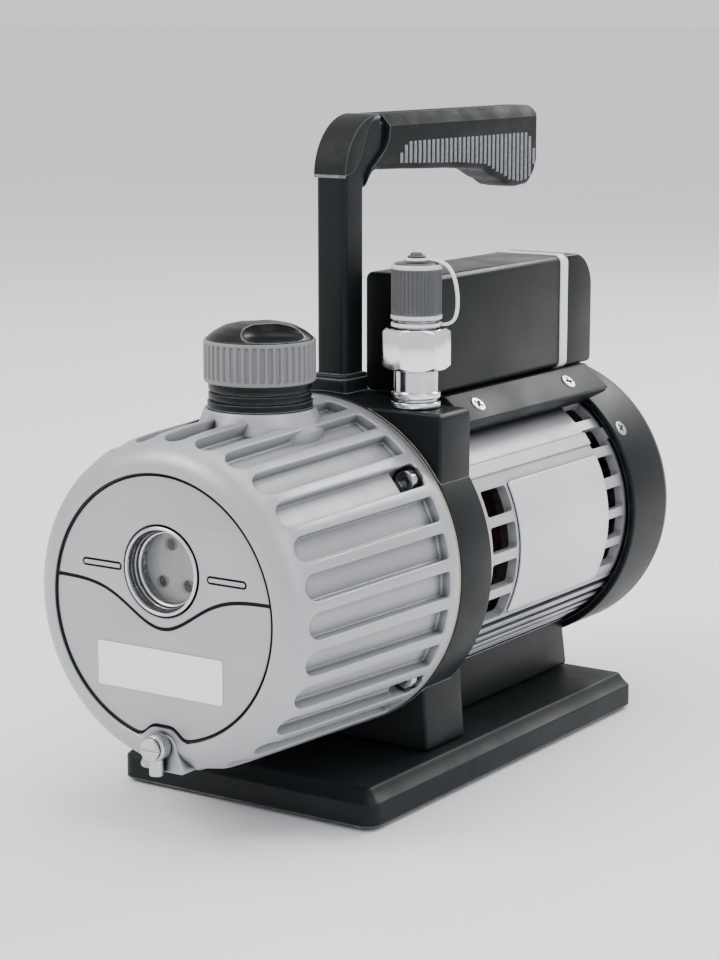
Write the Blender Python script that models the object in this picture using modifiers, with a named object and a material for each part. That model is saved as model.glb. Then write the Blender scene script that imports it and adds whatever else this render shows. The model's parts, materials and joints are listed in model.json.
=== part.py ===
"""Two stage rotary vane vacuum pump for refrigeration and air conditioning work.

The pump stands on rubber feet, with +Z up and the origin on the floor under the middle of its
outline. The shaft runs along Y: the oil case is at -Y, and the motor's fan is at +Y.
Lengths are written in millimetres, in the pump's own layout, where y = 0 is the middle of the
base. MM turns them into metres, and the root empty carries the layout to the origin.
"""
import math

import bmesh
import bpy
from mathutils import Matrix, Vector

MM = 0.001
WELD = 0.00001
# Part of a step that turned cutters are turned by, so that their edges miss the part's edges
CUTTER_PHASE = 0.37

# Driving dimensions
AXIS_Z = 88.0
GAP = 0.3
LAYOUT_SHIFT_Y = 13.7

# Base
BASE_X = 60.0
BASE_Y = 104.5
BASE_LOW = 1.5
BASE_EDGE = 11.0
BASE_TOP = 16.0
BASE_LEDGE = 4.5
BASE_WALL = 4.0
DECK_UNDER = 12.0
FOOT_X = 47.0
FOOT_Y = 91.5
FOOT_R = 9.2
FOOT_TOP = 5.0

# Pump frame
FRAME_R = 66.5
FRAME_FRONT = -52.0
FRAME_REAR = -29.0
BLOCK_LEFT = -30.0
BLOCK_RIGHT = 56.0
BLOCK_TOP = 150.5
PEDESTAL_X = 47.0
PEDESTAL_REAR = -22.0
INLET_X = 37.5
INLET_Y = -40.0
INLET_PORT = (22.0, 82.0)
NUT_TURN = 33.8

# Oil case
CASE_REAR = FRAME_FRONT - 1.4
CASE_FACE = -152.4
CASE_INSIDE_R = 54.0
SLOT_COUNT = 28
SLOT_WIDTH = 10.0
SLOT_FRONT = -146.0
SLOT_REAR = -60.0
SLOT_FLOOR = 62.0
SLOT_TILT = math.radians(3.0)
SCREW_SLOTS = (4, 10, 18, 24)
SCREW_RING_R = 61.5
GLASS_Z = 102.0
REFLECTOR_HOLES = (345, 225, 140)
REFLECTOR_HOLE_RING = 8.5
DRAIN_Z = 36.0
FILLER_Y = -91.0
FINGER_REACH = 21.5
FINGER_TURN = 58.0

# Pump module
CHAMBER_Z = 84.5
CHAMBER_R = 24.0
CYLINDER_R = 38.0
PUMP_ROTOR_R = 20.1
SHAFT_R = 7.0
VANE_X = 1.5
VANE_ROOT = 10.4
VANE_TIP = 19.9

# Motor
MOTOR_R = 57.5
MOTOR_INSIDE_R = 53.3
MOTOR_FRONT = FRAME_REAR + GAP
MOTOR_REAR = 104.0
RIB_FROM = 51
RIB_TO = 57
RIB_R = 58.5
FIN_COUNT = 8
FIN_FROM = 118
FIN_PITCH = 6
FIN_WIDTH = 3
FIN_VALLEY_R = 55.4
COVER_R = 62.0
COVER_FRONT = 98.0
COVER_REAR = 134.0
BRACKET_REAR = 97.5

# Electrical box
BOX_LEFT = 2.0
BOX_RIGHT = 36.0
BOX_LOW = 152.3
BOX_TOP = 200.0
BOX_FRONT = -22.0
BOX_SEAM = 77.0
BOX_REAR = 104.0
BOX_WALL = 2.5
BOX_CORNER = 15.0

# Handle
HANDLE_TOP = 262.0
POST_FRONT = -44.0
POST_REAR = -30.0
POST_X = 7.0
GRIP_FRONT = -17.0
GRIP_REAR = 104.0
GRIP_X = 9.0

# Surface of each kind of piece: colour, roughness, metallic
BLACK_CASTING = ((0.020, 0.023, 0.025), 0.55, 0.0)
BLACK_PLASTIC = ((0.018, 0.020, 0.022), 0.45, 0.0)
RUBBER = ((0.015, 0.015, 0.016), 0.85, 0.0)
SILVER = ((0.62, 0.63, 0.65), 0.38, 0.9)
ALUMINIUM = ((0.66, 0.67, 0.69), 0.30, 1.0)
STEEL = ((0.55, 0.55, 0.56), 0.30, 1.0)
CHROME = ((0.75, 0.76, 0.78), 0.15, 1.0)
BRASS = ((0.72, 0.55, 0.25), 0.28, 1.0)
CAP_GREY = ((0.16, 0.16, 0.17), 0.5, 0.0)
WHITE_PLASTIC = ((0.80, 0.80, 0.80), 0.45, 0.0)
PALE_PLATE = ((0.72, 0.74, 0.75), 0.45, 0.2)
COPPER = ((0.62, 0.25, 0.10), 0.35, 1.0)
FIBRE = ((0.35, 0.30, 0.22), 0.9, 0.0)
CLEAR = ((0.85, 0.92, 0.90), 0.05, 0.0)

TURNS = {
    "X": (0.0, math.pi / 2, 0.0),
    "Y": (-math.pi / 2, 0.0, 0.0),
    "Z": (0.0, 0.0, 0.0),
}
# Where an outline's two directions and its thickness point, for each axis of extrusion
PRISM_FRAMES = {
    "X": Matrix(((0, 0, 1), (1, 0, 0), (0, 1, 0))).to_4x4(),
    "Y": Matrix(((1, 0, 0), (0, 0, -1), (0, 1, 0))).to_4x4(),
    "Z": Matrix.Identity(4),
}


def clear_scene():
    for obj in list(bpy.data.objects):
        bpy.data.objects.remove(obj, do_unlink=True)


clear_scene()
PARTS = bpy.data.collections.new("vacuum_pump")
CUTTERS = bpy.data.collections.new("cutters")
bpy.context.scene.collection.children.link(PARTS)
bpy.context.scene.collection.children.link(CUTTERS)
ROOT = bpy.data.objects.new("layout_root", None)
ROOT.location = (0.0, LAYOUT_SHIFT_Y * MM, 0.0)
PARTS.objects.link(ROOT)


# ---------------------------------------------------------------- building blocks

def add_object(name, mesh, look):
    """Link a mesh as a part, or as a cutter when it has no look."""
    obj = bpy.data.objects.new(name, mesh)
    obj.parent = ROOT
    if look is None:
        CUTTERS.objects.link(obj)
        obj.hide_render = True
        obj.display_type = "WIRE"
        return obj
    PARTS.objects.link(obj)
    material = bpy.data.materials.new(name + "_surface")
    material.use_nodes = True
    shader = material.node_tree.nodes["Principled BSDF"]
    colour, roughness, metallic = look
    shader.inputs["Base Color"].default_value = (*colour, 1.0)
    shader.inputs["Roughness"].default_value = roughness
    shader.inputs["Metallic"].default_value = metallic
    if look is CLEAR:
        shader.inputs["Transmission Weight"].default_value = 0.9
    mesh.materials.append(material)
    return obj


def block(name, low, high, look=None, bevel=0.0):
    """A box between two corners, with its edges rounded by bevel."""
    low = Vector(low)
    high = Vector(high)
    mesh = bpy.data.meshes.new(name)
    bm = bmesh.new()
    bmesh.ops.create_cube(bm, size=MM)
    bmesh.ops.scale(bm, vec=high - low, verts=bm.verts)
    bm.to_mesh(mesh)
    bm.free()
    obj = add_object(name, mesh, look)
    obj.location = (low + high) / 2 * MM
    if bevel:
        round_edges(obj, bevel)
    return obj


def round_edges(obj, width, segments=2):
    bevel = obj.modifiers.new("Rounded edges", "BEVEL")
    bevel.width = width * MM
    bevel.segments = segments
    bevel.limit_method = "ANGLE"
    bevel.angle_limit = math.radians(40)


def turned(name, profile, look=None, axis="Z", centre=(0.0, 0.0, 0.0), steps=32, ring=False):
    """Turn a profile of (radius, distance along the axis) points.

    The profile runs down its outer side. It starts and ends on the axis, or is a closed loop
    when the piece is a ring.
    """
    phase = CUTTER_PHASE * math.tau / steps if look is None else 0.0
    across = Vector((math.cos(phase), math.sin(phase), 0.0)) * MM
    points = [across * radius + Vector((0.0, 0.0, along * MM)) for radius, along in profile]
    edges = [(i, i + 1) for i in range(len(points) - 1)]
    if ring:
        edges.append((len(points) - 1, 0))
    mesh = bpy.data.meshes.new(name)
    mesh.from_pydata(points, edges, [])
    obj = add_object(name, mesh, look)
    obj.location = Vector(centre) * MM
    obj.rotation_euler = TURNS[axis]
    screw = obj.modifiers.new("Turn", "SCREW")
    screw.axis = "Z"
    screw.angle = math.tau
    screw.steps = steps
    screw.render_steps = steps
    screw.use_merge_vertices = True
    screw.merge_threshold = WELD
    screw.use_smooth_shade = True
    return obj


def cylinder(name, radius, low, high, look=None, axis="Z", centre=(0.0, 0.0, 0.0), steps=24):
    profile = [(0, high), (radius, high), (radius, low), (0, low)]
    return turned(name, profile, look, axis, centre, steps)


def tube(name, outer, inner, low, high, look=None, axis="Z", centre=(0.0, 0.0, 0.0), steps=32):
    profile = [(inner, high), (outer, high), (outer, low), (inner, low)]
    return turned(name, profile, look, axis, centre, steps, ring=True)


def weld(mesh):
    bm = bmesh.new()
    bm.from_mesh(mesh)
    bmesh.ops.remove_doubles(bm, verts=bm.verts, dist=WELD / 10)
    bmesh.ops.recalc_face_normals(bm, faces=bm.faces)
    bm.to_mesh(mesh)
    bm.free()


def curve_to_mesh(name, curve, look, frame=None):
    """Turn a curve into a welded mesh object, and drop the curve."""
    guide = bpy.data.objects.new(name + "_guide", curve)
    CUTTERS.objects.link(guide)
    bpy.context.view_layer.update()
    evaluated = guide.evaluated_get(bpy.context.evaluated_depsgraph_get())
    mesh = bpy.data.meshes.new_from_object(evaluated)
    bpy.data.objects.remove(guide, do_unlink=True)
    mesh.materials.clear()
    if frame is not None:
        mesh.transform(frame)
    weld(mesh)
    return add_object(name, mesh, look)


def prism(name, outline, axis, low, high, look=None, holes=()):
    """A flat outline, with holes, extruded along an axis from low to high."""
    curve = bpy.data.curves.new(name, "CURVE")
    curve.dimensions = "2D"
    curve.fill_mode = "BOTH"
    curve.render_resolution_u = 0
    curve.extrude = (high - low) / 2 * MM
    for loop in (outline, *holes):
        spline = curve.splines.new("POLY")
        spline.points.add(len(loop) - 1)
        for point, (u, v) in zip(spline.points, loop):
            point.co = (u * MM, v * MM, 0.0, 1.0)
        spline.use_cyclic_u = True
    middle = Vector([(low + high) / 2 * MM if letter == axis else 0.0 for letter in "XYZ"])
    return curve_to_mesh(name, curve, look, Matrix.Translation(middle) @ PRISM_FRAMES[axis])


def wire(name, points, radius, look=None, resolution=1):
    """A round wire along a list of points."""
    curve = bpy.data.curves.new(name, "CURVE")
    curve.dimensions = "3D"
    curve.render_resolution_u = 0
    curve.bevel_depth = radius * MM
    curve.bevel_resolution = resolution
    curve.use_fill_caps = True
    spline = curve.splines.new("POLY")
    spline.points.add(len(points) - 1)
    for point, place in zip(spline.points, points):
        point.co = (*(Vector(place) * MM), 1.0)
    return curve_to_mesh(name, curve, look)


def arc(centre_u, centre_v, radius, start, end, steps):
    """Points on an arc, from a start angle to an end angle in degrees."""
    angles = [math.radians(start + (end - start) * i / steps) for i in range(steps + 1)]
    return [(centre_u + radius * math.cos(a), centre_v + radius * math.sin(a)) for a in angles]


def circle(centre_u, centre_v, radius, steps):
    return arc(centre_u, centre_v, radius, 0, 360, steps)[:-1]


def rounded(corners, steps=4):
    """An outline through (u, v, radius) corners, where a corner with a radius is an arc."""
    outline = []
    for i, (u, v, radius) in enumerate(corners):
        if radius == 0:
            outline.append((u, v))
            continue
        here = Vector((u, v))
        before = (Vector(corners[i - 1][:2]) - here).normalized()
        after = (Vector(corners[(i + 1) % len(corners)][:2]) - here).normalized()
        half = before.angle(after) / 2
        centre = here + (before + after).normalized() * radius / math.sin(half)
        reach = radius / math.tan(half)
        start = here + before * reach - centre
        end = here + after * reach - centre
        start_angle = math.degrees(math.atan2(start.y, start.x))
        end_angle = math.degrees(math.atan2(end.y, end.x))
        sweep = (end_angle - start_angle + 180) % 360 - 180
        outline += arc(centre.x, centre.y, radius, start_angle, start_angle + sweep, steps)
    return outline


def rounded_box(left, low, right, high, radius, steps=4):
    corners = ((left, low), (right, low), (right, high), (left, high))
    return rounded([(*corner, radius) for corner in corners], steps)


def clock(radius, degrees):
    """A point in the XZ plane, at an angle from straight up towards +X, round the shaft."""
    angle = math.radians(degrees)
    return radius * math.sin(angle), AXIS_Z + radius * math.cos(angle)


def on_shaft(y=0.0):
    return (0.0, y, AXIS_Z)


def repeat_round_shaft(name, tool, degrees, look=None):
    """Copies of one tool, turned about the shaft's axis, as one object."""
    bpy.context.view_layer.update()
    evaluated = tool.evaluated_get(bpy.context.evaluated_depsgraph_get())
    pattern = bpy.data.meshes.new_from_object(evaluated)
    pattern.transform(ROOT.matrix_world.inverted() @ tool.matrix_world)
    to_shaft = Matrix.Translation(Vector(on_shaft()) * MM)
    bm = bmesh.new()
    for angle in degrees:
        copy = pattern.copy()
        turn = Matrix.Rotation(math.radians(angle), 4, "Y")
        copy.transform(to_shaft @ turn @ to_shaft.inverted())
        bm.from_mesh(copy)
        bpy.data.meshes.remove(copy)
    mesh = bpy.data.meshes.new(name)
    bm.to_mesh(mesh)
    bm.free()
    bpy.data.meshes.remove(pattern)
    bpy.data.objects.remove(tool, do_unlink=True)
    return add_object(name, mesh, look)


def combine(target, tools, operation):
    for tool in tools:
        boolean = target.modifiers.new(tool.name, "BOOLEAN")
        boolean.operation = operation
        boolean.solver = "EXACT"
        boolean.object = tool
    return target


def cut(target, *tools):
    return combine(target, tools, "DIFFERENCE")


def close_slivers(obj):
    """Merge the corners that a row of Booleans leaves almost on top of each other."""
    merge = obj.modifiers.new("Close slivers", "WELD")
    merge.merge_threshold = 2 * WELD


def join(target, *tools):
    return combine(target, tools, "UNION")


def set_origin(obj, point):
    """Move an object's origin to a point, and leave its shape where it is."""
    shift = Vector(point) * MM - obj.location
    obj.data.transform(Matrix.Translation(-shift))
    obj.location = Vector(point) * MM
    return obj


# ---------------------------------------------------------------- base

def make_base():
    footprint = rounded_box(-BASE_X, -BASE_Y, BASE_X, BASE_Y, 6.0)
    base = prism("base_plate", footprint, "Z", BASE_LOW, BASE_EDGE, BLACK_CASTING)
    bm = bmesh.new()
    bm.from_mesh(base.data)
    deck = [face for face in bm.faces if face.normal.z > 0.5]
    bmesh.ops.inset_region(
        bm, faces=deck, thickness=BASE_LEDGE * MM, depth=(BASE_TOP - BASE_EDGE) * MM,
        use_boundary=True, use_even_offset=True)
    bm.to_mesh(base.data)
    bm.free()
    inner_x = BASE_X - BASE_WALL
    inner_y = BASE_Y - BASE_WALL
    corner_x = FOOT_X - FOOT_R - BASE_WALL
    corner_y = FOOT_Y - FOOT_R - BASE_WALL
    cut(base,
        block("base_hollow_wide", (-inner_x, -corner_y, -1.0), (inner_x, corner_y, DECK_UNDER)),
        block("base_hollow_long", (-corner_x, -inner_y, -1.0), (corner_x, inner_y, DECK_UNDER)))
    for x_name, side_x in (("left", -1), ("right", 1)):
        for y_name, side_y in (("front", -1), ("rear", 1)):
            place = (side_x * FOOT_X, side_y * FOOT_Y, 0.0)
            name = f"foot_{y_name}_{x_name}"
            profile = [(0, FOOT_TOP), (FOOT_R, FOOT_TOP), (FOOT_R, 1.0), (FOOT_R - 1, 0), (0, 0)]
            turned(name, profile, RUBBER, centre=place, steps=16)
            cut(base, cylinder(name + "_pocket", FOOT_R + 0.4, -1.0, FOOT_TOP + GAP,
                               centre=place, steps=16))


# ---------------------------------------------------------------- pump frame

def make_frame():
    disc = [(0, FRAME_REAR), (FRAME_R - 1, FRAME_REAR), (FRAME_R, FRAME_REAR - 1),
            (FRAME_R, FRAME_FRONT), (0, FRAME_FRONT)]
    frame = turned("pump_frame", disc, BLACK_CASTING, "Y", on_shaft(), steps=42)
    pedestal = [(-PEDESTAL_X - 3, BASE_TOP + GAP), (PEDESTAL_X + 3, BASE_TOP + GAP),
                (PEDESTAL_X, 50.0), (-PEDESTAL_X, 50.0)]
    foot = prism("frame_pedestal", pedestal, "Y", -50.0, PEDESTAL_REAR)
    cut(foot, cylinder("pedestal_saddle", MOTOR_R + 0.6, FRAME_REAR + 0.1, 0.0, axis="Y",
                       centre=on_shaft(), steps=60))
    top = rounded([(BLOCK_LEFT, 120.0, 0), (50.0, 112.0, 0), (BLOCK_RIGHT, 118.0, 0),
                   (BLOCK_RIGHT, BLOCK_TOP, 2.0), (BLOCK_LEFT, BLOCK_TOP, 4.0)], 3)
    inlet_block = prism("frame_inlet_block", top, "Y", FRAME_FRONT + 0.5, FRAME_REAR - 0.5)
    join(frame, foot, inlet_block)
    bores = [(0, -28.0), (13.3, -28.0), (13.3, -39.0), (12.3, -39.0), (12.3, -46.0),
             (8.0, -46.0), (8.0, -53.0), (0, -53.0)]
    cut(frame, turned("frame_bores", bores, None, "Y", on_shaft(), 20))
    inlet = (INLET_X, INLET_Y, 0.0)
    port_x, port_z = INLET_PORT
    well = [(0, 160.0), (6.3, 160.0), (6.3, 142.0), (3.0, 140.0), (3.0, port_z - 2), (0, port_z - 2)]
    crossing = cylinder("inlet_crossing", 2.4, port_x - 2, INLET_X, None, "X",
                        (0.0, INLET_Y, port_z), 8)
    port = cylinder("inlet_port", 2.0, -53.0, INLET_Y, None, "Y", (port_x, 0.0, port_z), 8)
    cut(frame, turned("inlet_well", well, None, "Z", inlet, 16), crossing, port)
    tap = cylinder("frame_tap", 2.9, -53.0, -41.0, None, "Y", on_ring(SCREW_RING_R), 8)
    cut(frame, repeat_round_shaft("frame_taps", tap, screw_angles()))

    gasket = tube("case_gasket", FRAME_R - 0.5, CASE_INSIDE_R + 0.5, FRAME_FRONT - GAP - 0.8,
                  FRAME_FRONT - GAP, FIBRE, "Y", on_shaft(), 28)
    hole = cylinder("gasket_hole", 2.9, -54.0, -51.0, None, "Y", on_ring(SCREW_RING_R), 8)
    cut(gasket, repeat_round_shaft("gasket_holes", hole, screw_angles()))


def on_ring(radius):
    """The top point of a ring round the shaft."""
    return (0.0, 0.0, AXIS_Z + radius)


def screw_angles():
    return [slot * 360 / SLOT_COUNT for slot in SCREW_SLOTS]


# ---------------------------------------------------------------- oil case

def make_oil_case():
    profile = [
        (0, -148.0), (49.0, -148.0), (CASE_INSIDE_R, -142.0), (CASE_INSIDE_R, CASE_REAR),
        (66.5, CASE_REAR), (66.5, -58.0), (63.3, -137.0), (60.5, -146.0), (55.5, -151.6),
        (50.3, -153.4), (50.0, CASE_FACE), (0, CASE_FACE),
    ]
    case = turned("oil_case", profile, SILVER, "Y", on_shaft(), steps=56)
    half = SLOT_WIDTH / 2
    outline = [(-half, SLOT_REAR), (half, SLOT_REAR)] + arc(0.0, SLOT_FRONT + half, half, 0, -180, 5)
    slot = prism("slot", outline, "Z", AXIS_Z + SLOT_FLOOR, AXIS_Z + 80.0)
    set_origin(slot, (0.0, SLOT_REAR, AXIS_Z + SLOT_FLOOR))
    slot.rotation_euler = (SLOT_TILT, 0.0, 0.0)
    angles = [i * 360 / SLOT_COUNT for i in range(SLOT_COUNT)]
    cut(case, repeat_round_shaft("slots", slot, angles))

    boss = [(0, 154.5), (21.0, 154.5), (21.5, 153.0), (25.2, 149.0), (25.2, 138.3), (0, 138.3)]
    filler = turned("filler_boss", boss, None, "Z", (0.0, FILLER_Y, 0.0), 28)
    lug_outline = rounded([(-11.0, 27.0, 2.0), (11.0, 27.0, 2.0), (8.0, 40.0, 0), (8.0, 44.0, 6.0),
                           (-8.0, 44.0, 6.0), (-8.0, 40.0, 0)])
    lug = prism("drain_lug", lug_outline, "Y", -154.0, -138.0)
    join(case, filler, lug)

    bore = cylinder("filler_bore", 16.3, 130.0, 160.0, centre=(0.0, FILLER_Y, 0.0), steps=26)
    window = cylinder("glass_bore", 16.9, -160.0, -140.0, None, "Y", (0.0, 0.0, GLASS_Z), 32)
    drain = cylinder("drain_bore", 4.3, -160.0, -141.0, None, "Y", (0.0, 0.0, DRAIN_Z + 1.0), 16)
    cut(case, bore, window, drain)
    seat_end = SLOT_REAR + 0.6
    stepped = [(0, -52.0), (2.9, -52.0), (2.9, seat_end), (5.0, seat_end), (5.0, -72.0), (0, -72.0)]
    seat = turned("screw_seat", stepped, None, "Y", on_ring(SCREW_RING_R), 12)
    cut(case, repeat_round_shaft("screw_seats", seat, screw_angles()))
    close_slivers(case)


def make_case_screws():
    """Socket head screws, each in the end of its slot."""
    head_front = SLOT_REAR - GAP - 4.5
    profile = [
        (0, -42.0), (2.5, -42.0), (2.5, SLOT_REAR - GAP), (4.25, SLOT_REAR - GAP),
        (4.25, head_front), (2.2, head_front), (2.2, head_front + 2.5), (0, head_front + 2.5),
    ]
    for number, angle in enumerate(screw_angles(), 1):
        x, z = clock(SCREW_RING_R, angle)
        turned(f"case_screw_{number}", profile, STEEL, "Y", (x, 0.0, z), 12)


def make_sight_glass():
    centre = (0.0, 0.0, GLASS_Z)
    bezel = [
        (14.4, -141.0), (16.6, -141.0), (16.6, -153.2), (16.2, -153.6), (15.4, -153.6),
        (15.4, -150.5), (14.2, -150.5), (14.2, -148.5), (13.0, -148.5), (13.0, -147.0),
        (14.4, -147.0),
    ]
    turned("sight_glass_bezel", bezel, ALUMINIUM, "Y", centre, 20, ring=True)
    cylinder("sight_glass_lens", 14.0, -146.7, -143.7, CLEAR, "Y", centre, 20)
    reflector = cylinder("sight_glass_reflector", 14.0, -143.4, -142.2, WHITE_PLASTIC, "Y", centre, 20)
    for number, degrees in enumerate(REFLECTOR_HOLES, 1):
        x = REFLECTOR_HOLE_RING * math.sin(math.radians(degrees))
        z = REFLECTOR_HOLE_RING * math.cos(math.radians(degrees))
        cut(reflector, cylinder(f"reflector_hole_{number}", 2.3, -145.0, -141.0, None, "Y",
                                (x, 0.0, GLASS_Z + z), 8))


def make_drain_valve():
    centre = (0.0, 0.0, DRAIN_Z + 1.0)
    barrel = [(0, -147.0), (4.0, -147.0), (4.0, -154.3), (6.2, -154.3), (6.2, -159.2),
              (5.4, -160.0), (3.0, -160.0), (3.0, -152.0), (0, -152.0)]
    body = turned("drain_valve_body", barrel, BRASS, "Y", centre, 16)
    spout = tube("drain_spout", 2.7, 1.4, 25.0, 33.0, None, "Z", (0.0, -157.2, 0.0), 12)
    join(body, spout)
    knob = [(0, -152.4), (2.6, -152.4), (2.6, -160.3), (5.2, -160.3), (5.2, -161.4), (0, -161.4)]
    stem = turned("drain_valve_knob", knob, BRASS, "Y", centre, 16)
    cut(stem, block("knob_slot", (-6.0, -162.0, DRAIN_Z + 0.4), (6.0, -160.9, DRAIN_Z + 1.6)))


# ---------------------------------------------------------------- exhaust and oil filler

def make_filler():
    centre = (0.0, FILLER_Y, 0.0)
    neck = [
        (13.0, 174.0), (16.8, 174.0), (16.8, 164.0), (19.0, 164.0), (19.0, 161.0), (18.2, 161.0),
        (18.2, 159.4), (19.2, 158.8), (20.0, 154.8), (16.0, 154.8), (16.0, 146.0), (9.0, 146.0),
        (9.0, 148.0), (13.0, 148.0),
    ]
    turned("filler_neck", neck, BLACK_PLASTIC, "Z", centre, 24, ring=True)
    cylinder("exhaust_check_disc", 11.8, 148.3, 149.8, RUBBER, centre=centre, steps=16)
    cylinder("exhaust_filter", 12.6, 153.2, 173.7, FIBRE, centre=centre, steps=20)
    tube("exhaust_cap_seal", 16.6, 13.4, 174.3, 175.5, RUBBER, centre=centre, steps=24)
    dome = [(0, 187.0), (8.0, 186.6), (13.5, 185.4), (17.5, 183.2), (20.2, 181.0), (21.3, 180.4),
            (21.3, 165.0), (20.9, 164.5), (17.3, 164.5), (17.3, 175.8), (0, 175.8)]
    cap = turned("exhaust_cap", dome, CAP_GREY, "Z", centre, steps=28)
    turn = math.radians(FINGER_TURN)
    for side in (-1, 1):
        reach = side * FINGER_REACH
        at = (reach * math.sin(turn), FILLER_Y - reach * math.cos(turn), 0.0)
        hollow = turned(f"finger_hollow_{side + 2}", [(0, 192.0), (16.5, 192.0), (16.0, 184.5),
                                                      (14.0, 182.0), (0, 181.4)],
                        None, "Z", at, 16)
        cut(cap, hollow)


# ---------------------------------------------------------------- inlet

def make_inlet():
    centre = (INLET_X, INLET_Y, 0.0)
    barrel = [
        (2.4, 201.7), (5.5, 201.7), (5.5, 185.0), (7.8, 185.0), (7.8, 179.0), (8.6, 179.0),
        (8.6, 157.2), (9.3, 157.2), (9.3, 154.6), (8.4, 154.6), (8.4, 153.4), (9.3, 153.4),
        (9.3, 150.8), (6.0, 150.8), (6.0, 143.5), (5.0, 143.5), (5.0, 176.0), (2.4, 176.0),
    ]
    fitting = turned("inlet_fitting", barrel, CHROME, "Z", centre, 16, ring=True)
    flats = [(INLET_X + u, INLET_Y + v) for u, v in arc(0.0, 0.0, 13.3, NUT_TURN, NUT_TURN + 300, 5)]
    nut = prism("inlet_hexagon", flats, "Z", 166.0, 181.8, None,
                [circle(INLET_X, INLET_Y, 6.2, 16)])
    join(fitting, nut)
    tube("inlet_strainer", 4.7, 1.8, 158.0, 160.0, BRASS, centre=centre, steps=16)
    poppet = [(0, 175.7), (2.0, 175.7), (4.4, 174.0), (4.4, 171.0), (2.2, 171.0), (2.2, 168.0),
              (0, 168.0)]
    turned("inlet_check_poppet", poppet, RUBBER, "Z", centre, 16)
    coils = 4
    per_coil = 8
    low = 160.9
    high = 170.1
    coil = []
    for i in range(coils * per_coil + 1):
        angle = math.tau * i / per_coil
        height = low + (high - low) * i / (coils * per_coil)
        coil.append((INLET_X + 3.6 * math.cos(angle), INLET_Y + 3.6 * math.sin(angle), height))
    wire("inlet_check_spring", coil, 0.4, STEEL, 0)

    skirt = [(0, 207.0), (7.8, 207.0), (9.8, 205.0), (9.8, 186.0), (9.2, 185.3), (5.9, 185.3),
             (5.9, 203.5), (0, 203.5)]
    turned("inlet_cap", skirt, CAP_GREY, "Z", centre, 24)
    cylinder("inlet_cap_seal", 5.4, 202.0, 203.2, RUBBER, centre=centre, steps=20)
    button = [(0, 210.8), (2.0, 210.8), (2.5, 210.3), (2.5, 209.8), (3.6, 209.5), (3.6, 209.0),
              (2.4, 209.0), (2.4, 207.3), (0, 207.3)]
    turned("tether_button", button, WHITE_PLASTIC, "Z", centre, 16)
    make_tether(centre)


def make_tether(centre):
    """A strap from an eye round the button, out beyond the cap, to an eye round the neck."""
    lean = math.radians(18.0)
    low_z = 183.2
    high_z = 208.1
    strap = []
    for i in range(12):
        part = i / 11
        reach = 4.2 + 4.7 * part + 9.5 * math.sin(math.pi * part) ** 0.6
        height = high_z + (low_z - high_z) * (part - math.sin(math.tau * part) / math.tau * 0.75)
        strap.append((INLET_X + reach * math.cos(lean), INLET_Y + reach * math.sin(lean), height))
    tether = tube("cap_tether", 5.0, 2.8, 207.5, 208.7, WHITE_PLASTIC, centre=centre, steps=16)
    lower_eye = tube("tether_lower_eye", 9.7, 8.1, 182.4, 184.0, centre=centre, steps=16)
    join(tether, wire("tether_strap", strap, 0.75), lower_eye)


# ---------------------------------------------------------------- motor

def housing_outline():
    half = [(angle, MOTOR_R) for angle in range(0, RIB_FROM, 6)]
    half += [(RIB_FROM, MOTOR_R), (RIB_FROM, RIB_R), (RIB_TO, RIB_R), (RIB_TO, MOTOR_R)]
    half += [(angle, MOTOR_R) for angle in range(RIB_TO + 6, FIN_FROM, 6)]
    for fin in range(FIN_COUNT):
        start = FIN_FROM + fin * FIN_PITCH
        half += [(start, MOTOR_R), (start + FIN_WIDTH, MOTOR_R)]
        half += [(start + FIN_WIDTH, FIN_VALLEY_R), (start + FIN_PITCH, FIN_VALLEY_R)]
    fin_end = FIN_FROM + FIN_COUNT * FIN_PITCH
    half += [(fin_end, MOTOR_R), ((fin_end + 180) / 2, MOTOR_R), (180, MOTOR_R)]
    other = [(-angle, radius) for angle, radius in reversed(half[1:-1])]
    return [clock(radius, angle) for angle, radius in half + other]


def make_motor_housing():
    bore = circle(0.0, AXIS_Z, MOTOR_INSIDE_R, 48)
    housing = prism("motor_housing", housing_outline(), "Y", MOTOR_FRONT, MOTOR_REAR, SILVER, [bore])
    inside = AXIS_Z + MOTOR_INSIDE_R - 3
    outside = AXIS_Z + MOTOR_R + 3
    front_vent = block("front_vent", (-4.5, -11.0, inside), (4.5, 4.0, outside))
    rear_vent = block("rear_vent", (-4.0, 83.0, inside), (4.0, 96.5, outside))
    front_angles = [68, 83, 98, 113]
    rear_angles = [41, 54.5, 68, 82, 95, 108]
    cut(housing,
        repeat_round_shaft("front_vents", front_vent, front_angles + [-a for a in front_angles]),
        repeat_round_shaft("rear_vents", rear_vent, rear_angles + [-a for a in rear_angles]))
    outer = [clock(MOTOR_R + 0.9, angle) for angle in range(62, 118, 5)]
    inner = [clock(MOTOR_R + GAP, angle) for angle in range(62, 118, 5)]
    prism("nameplate", outer + inner[::-1], "Y", 7.0, 81.0, PALE_PLATE)


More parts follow.
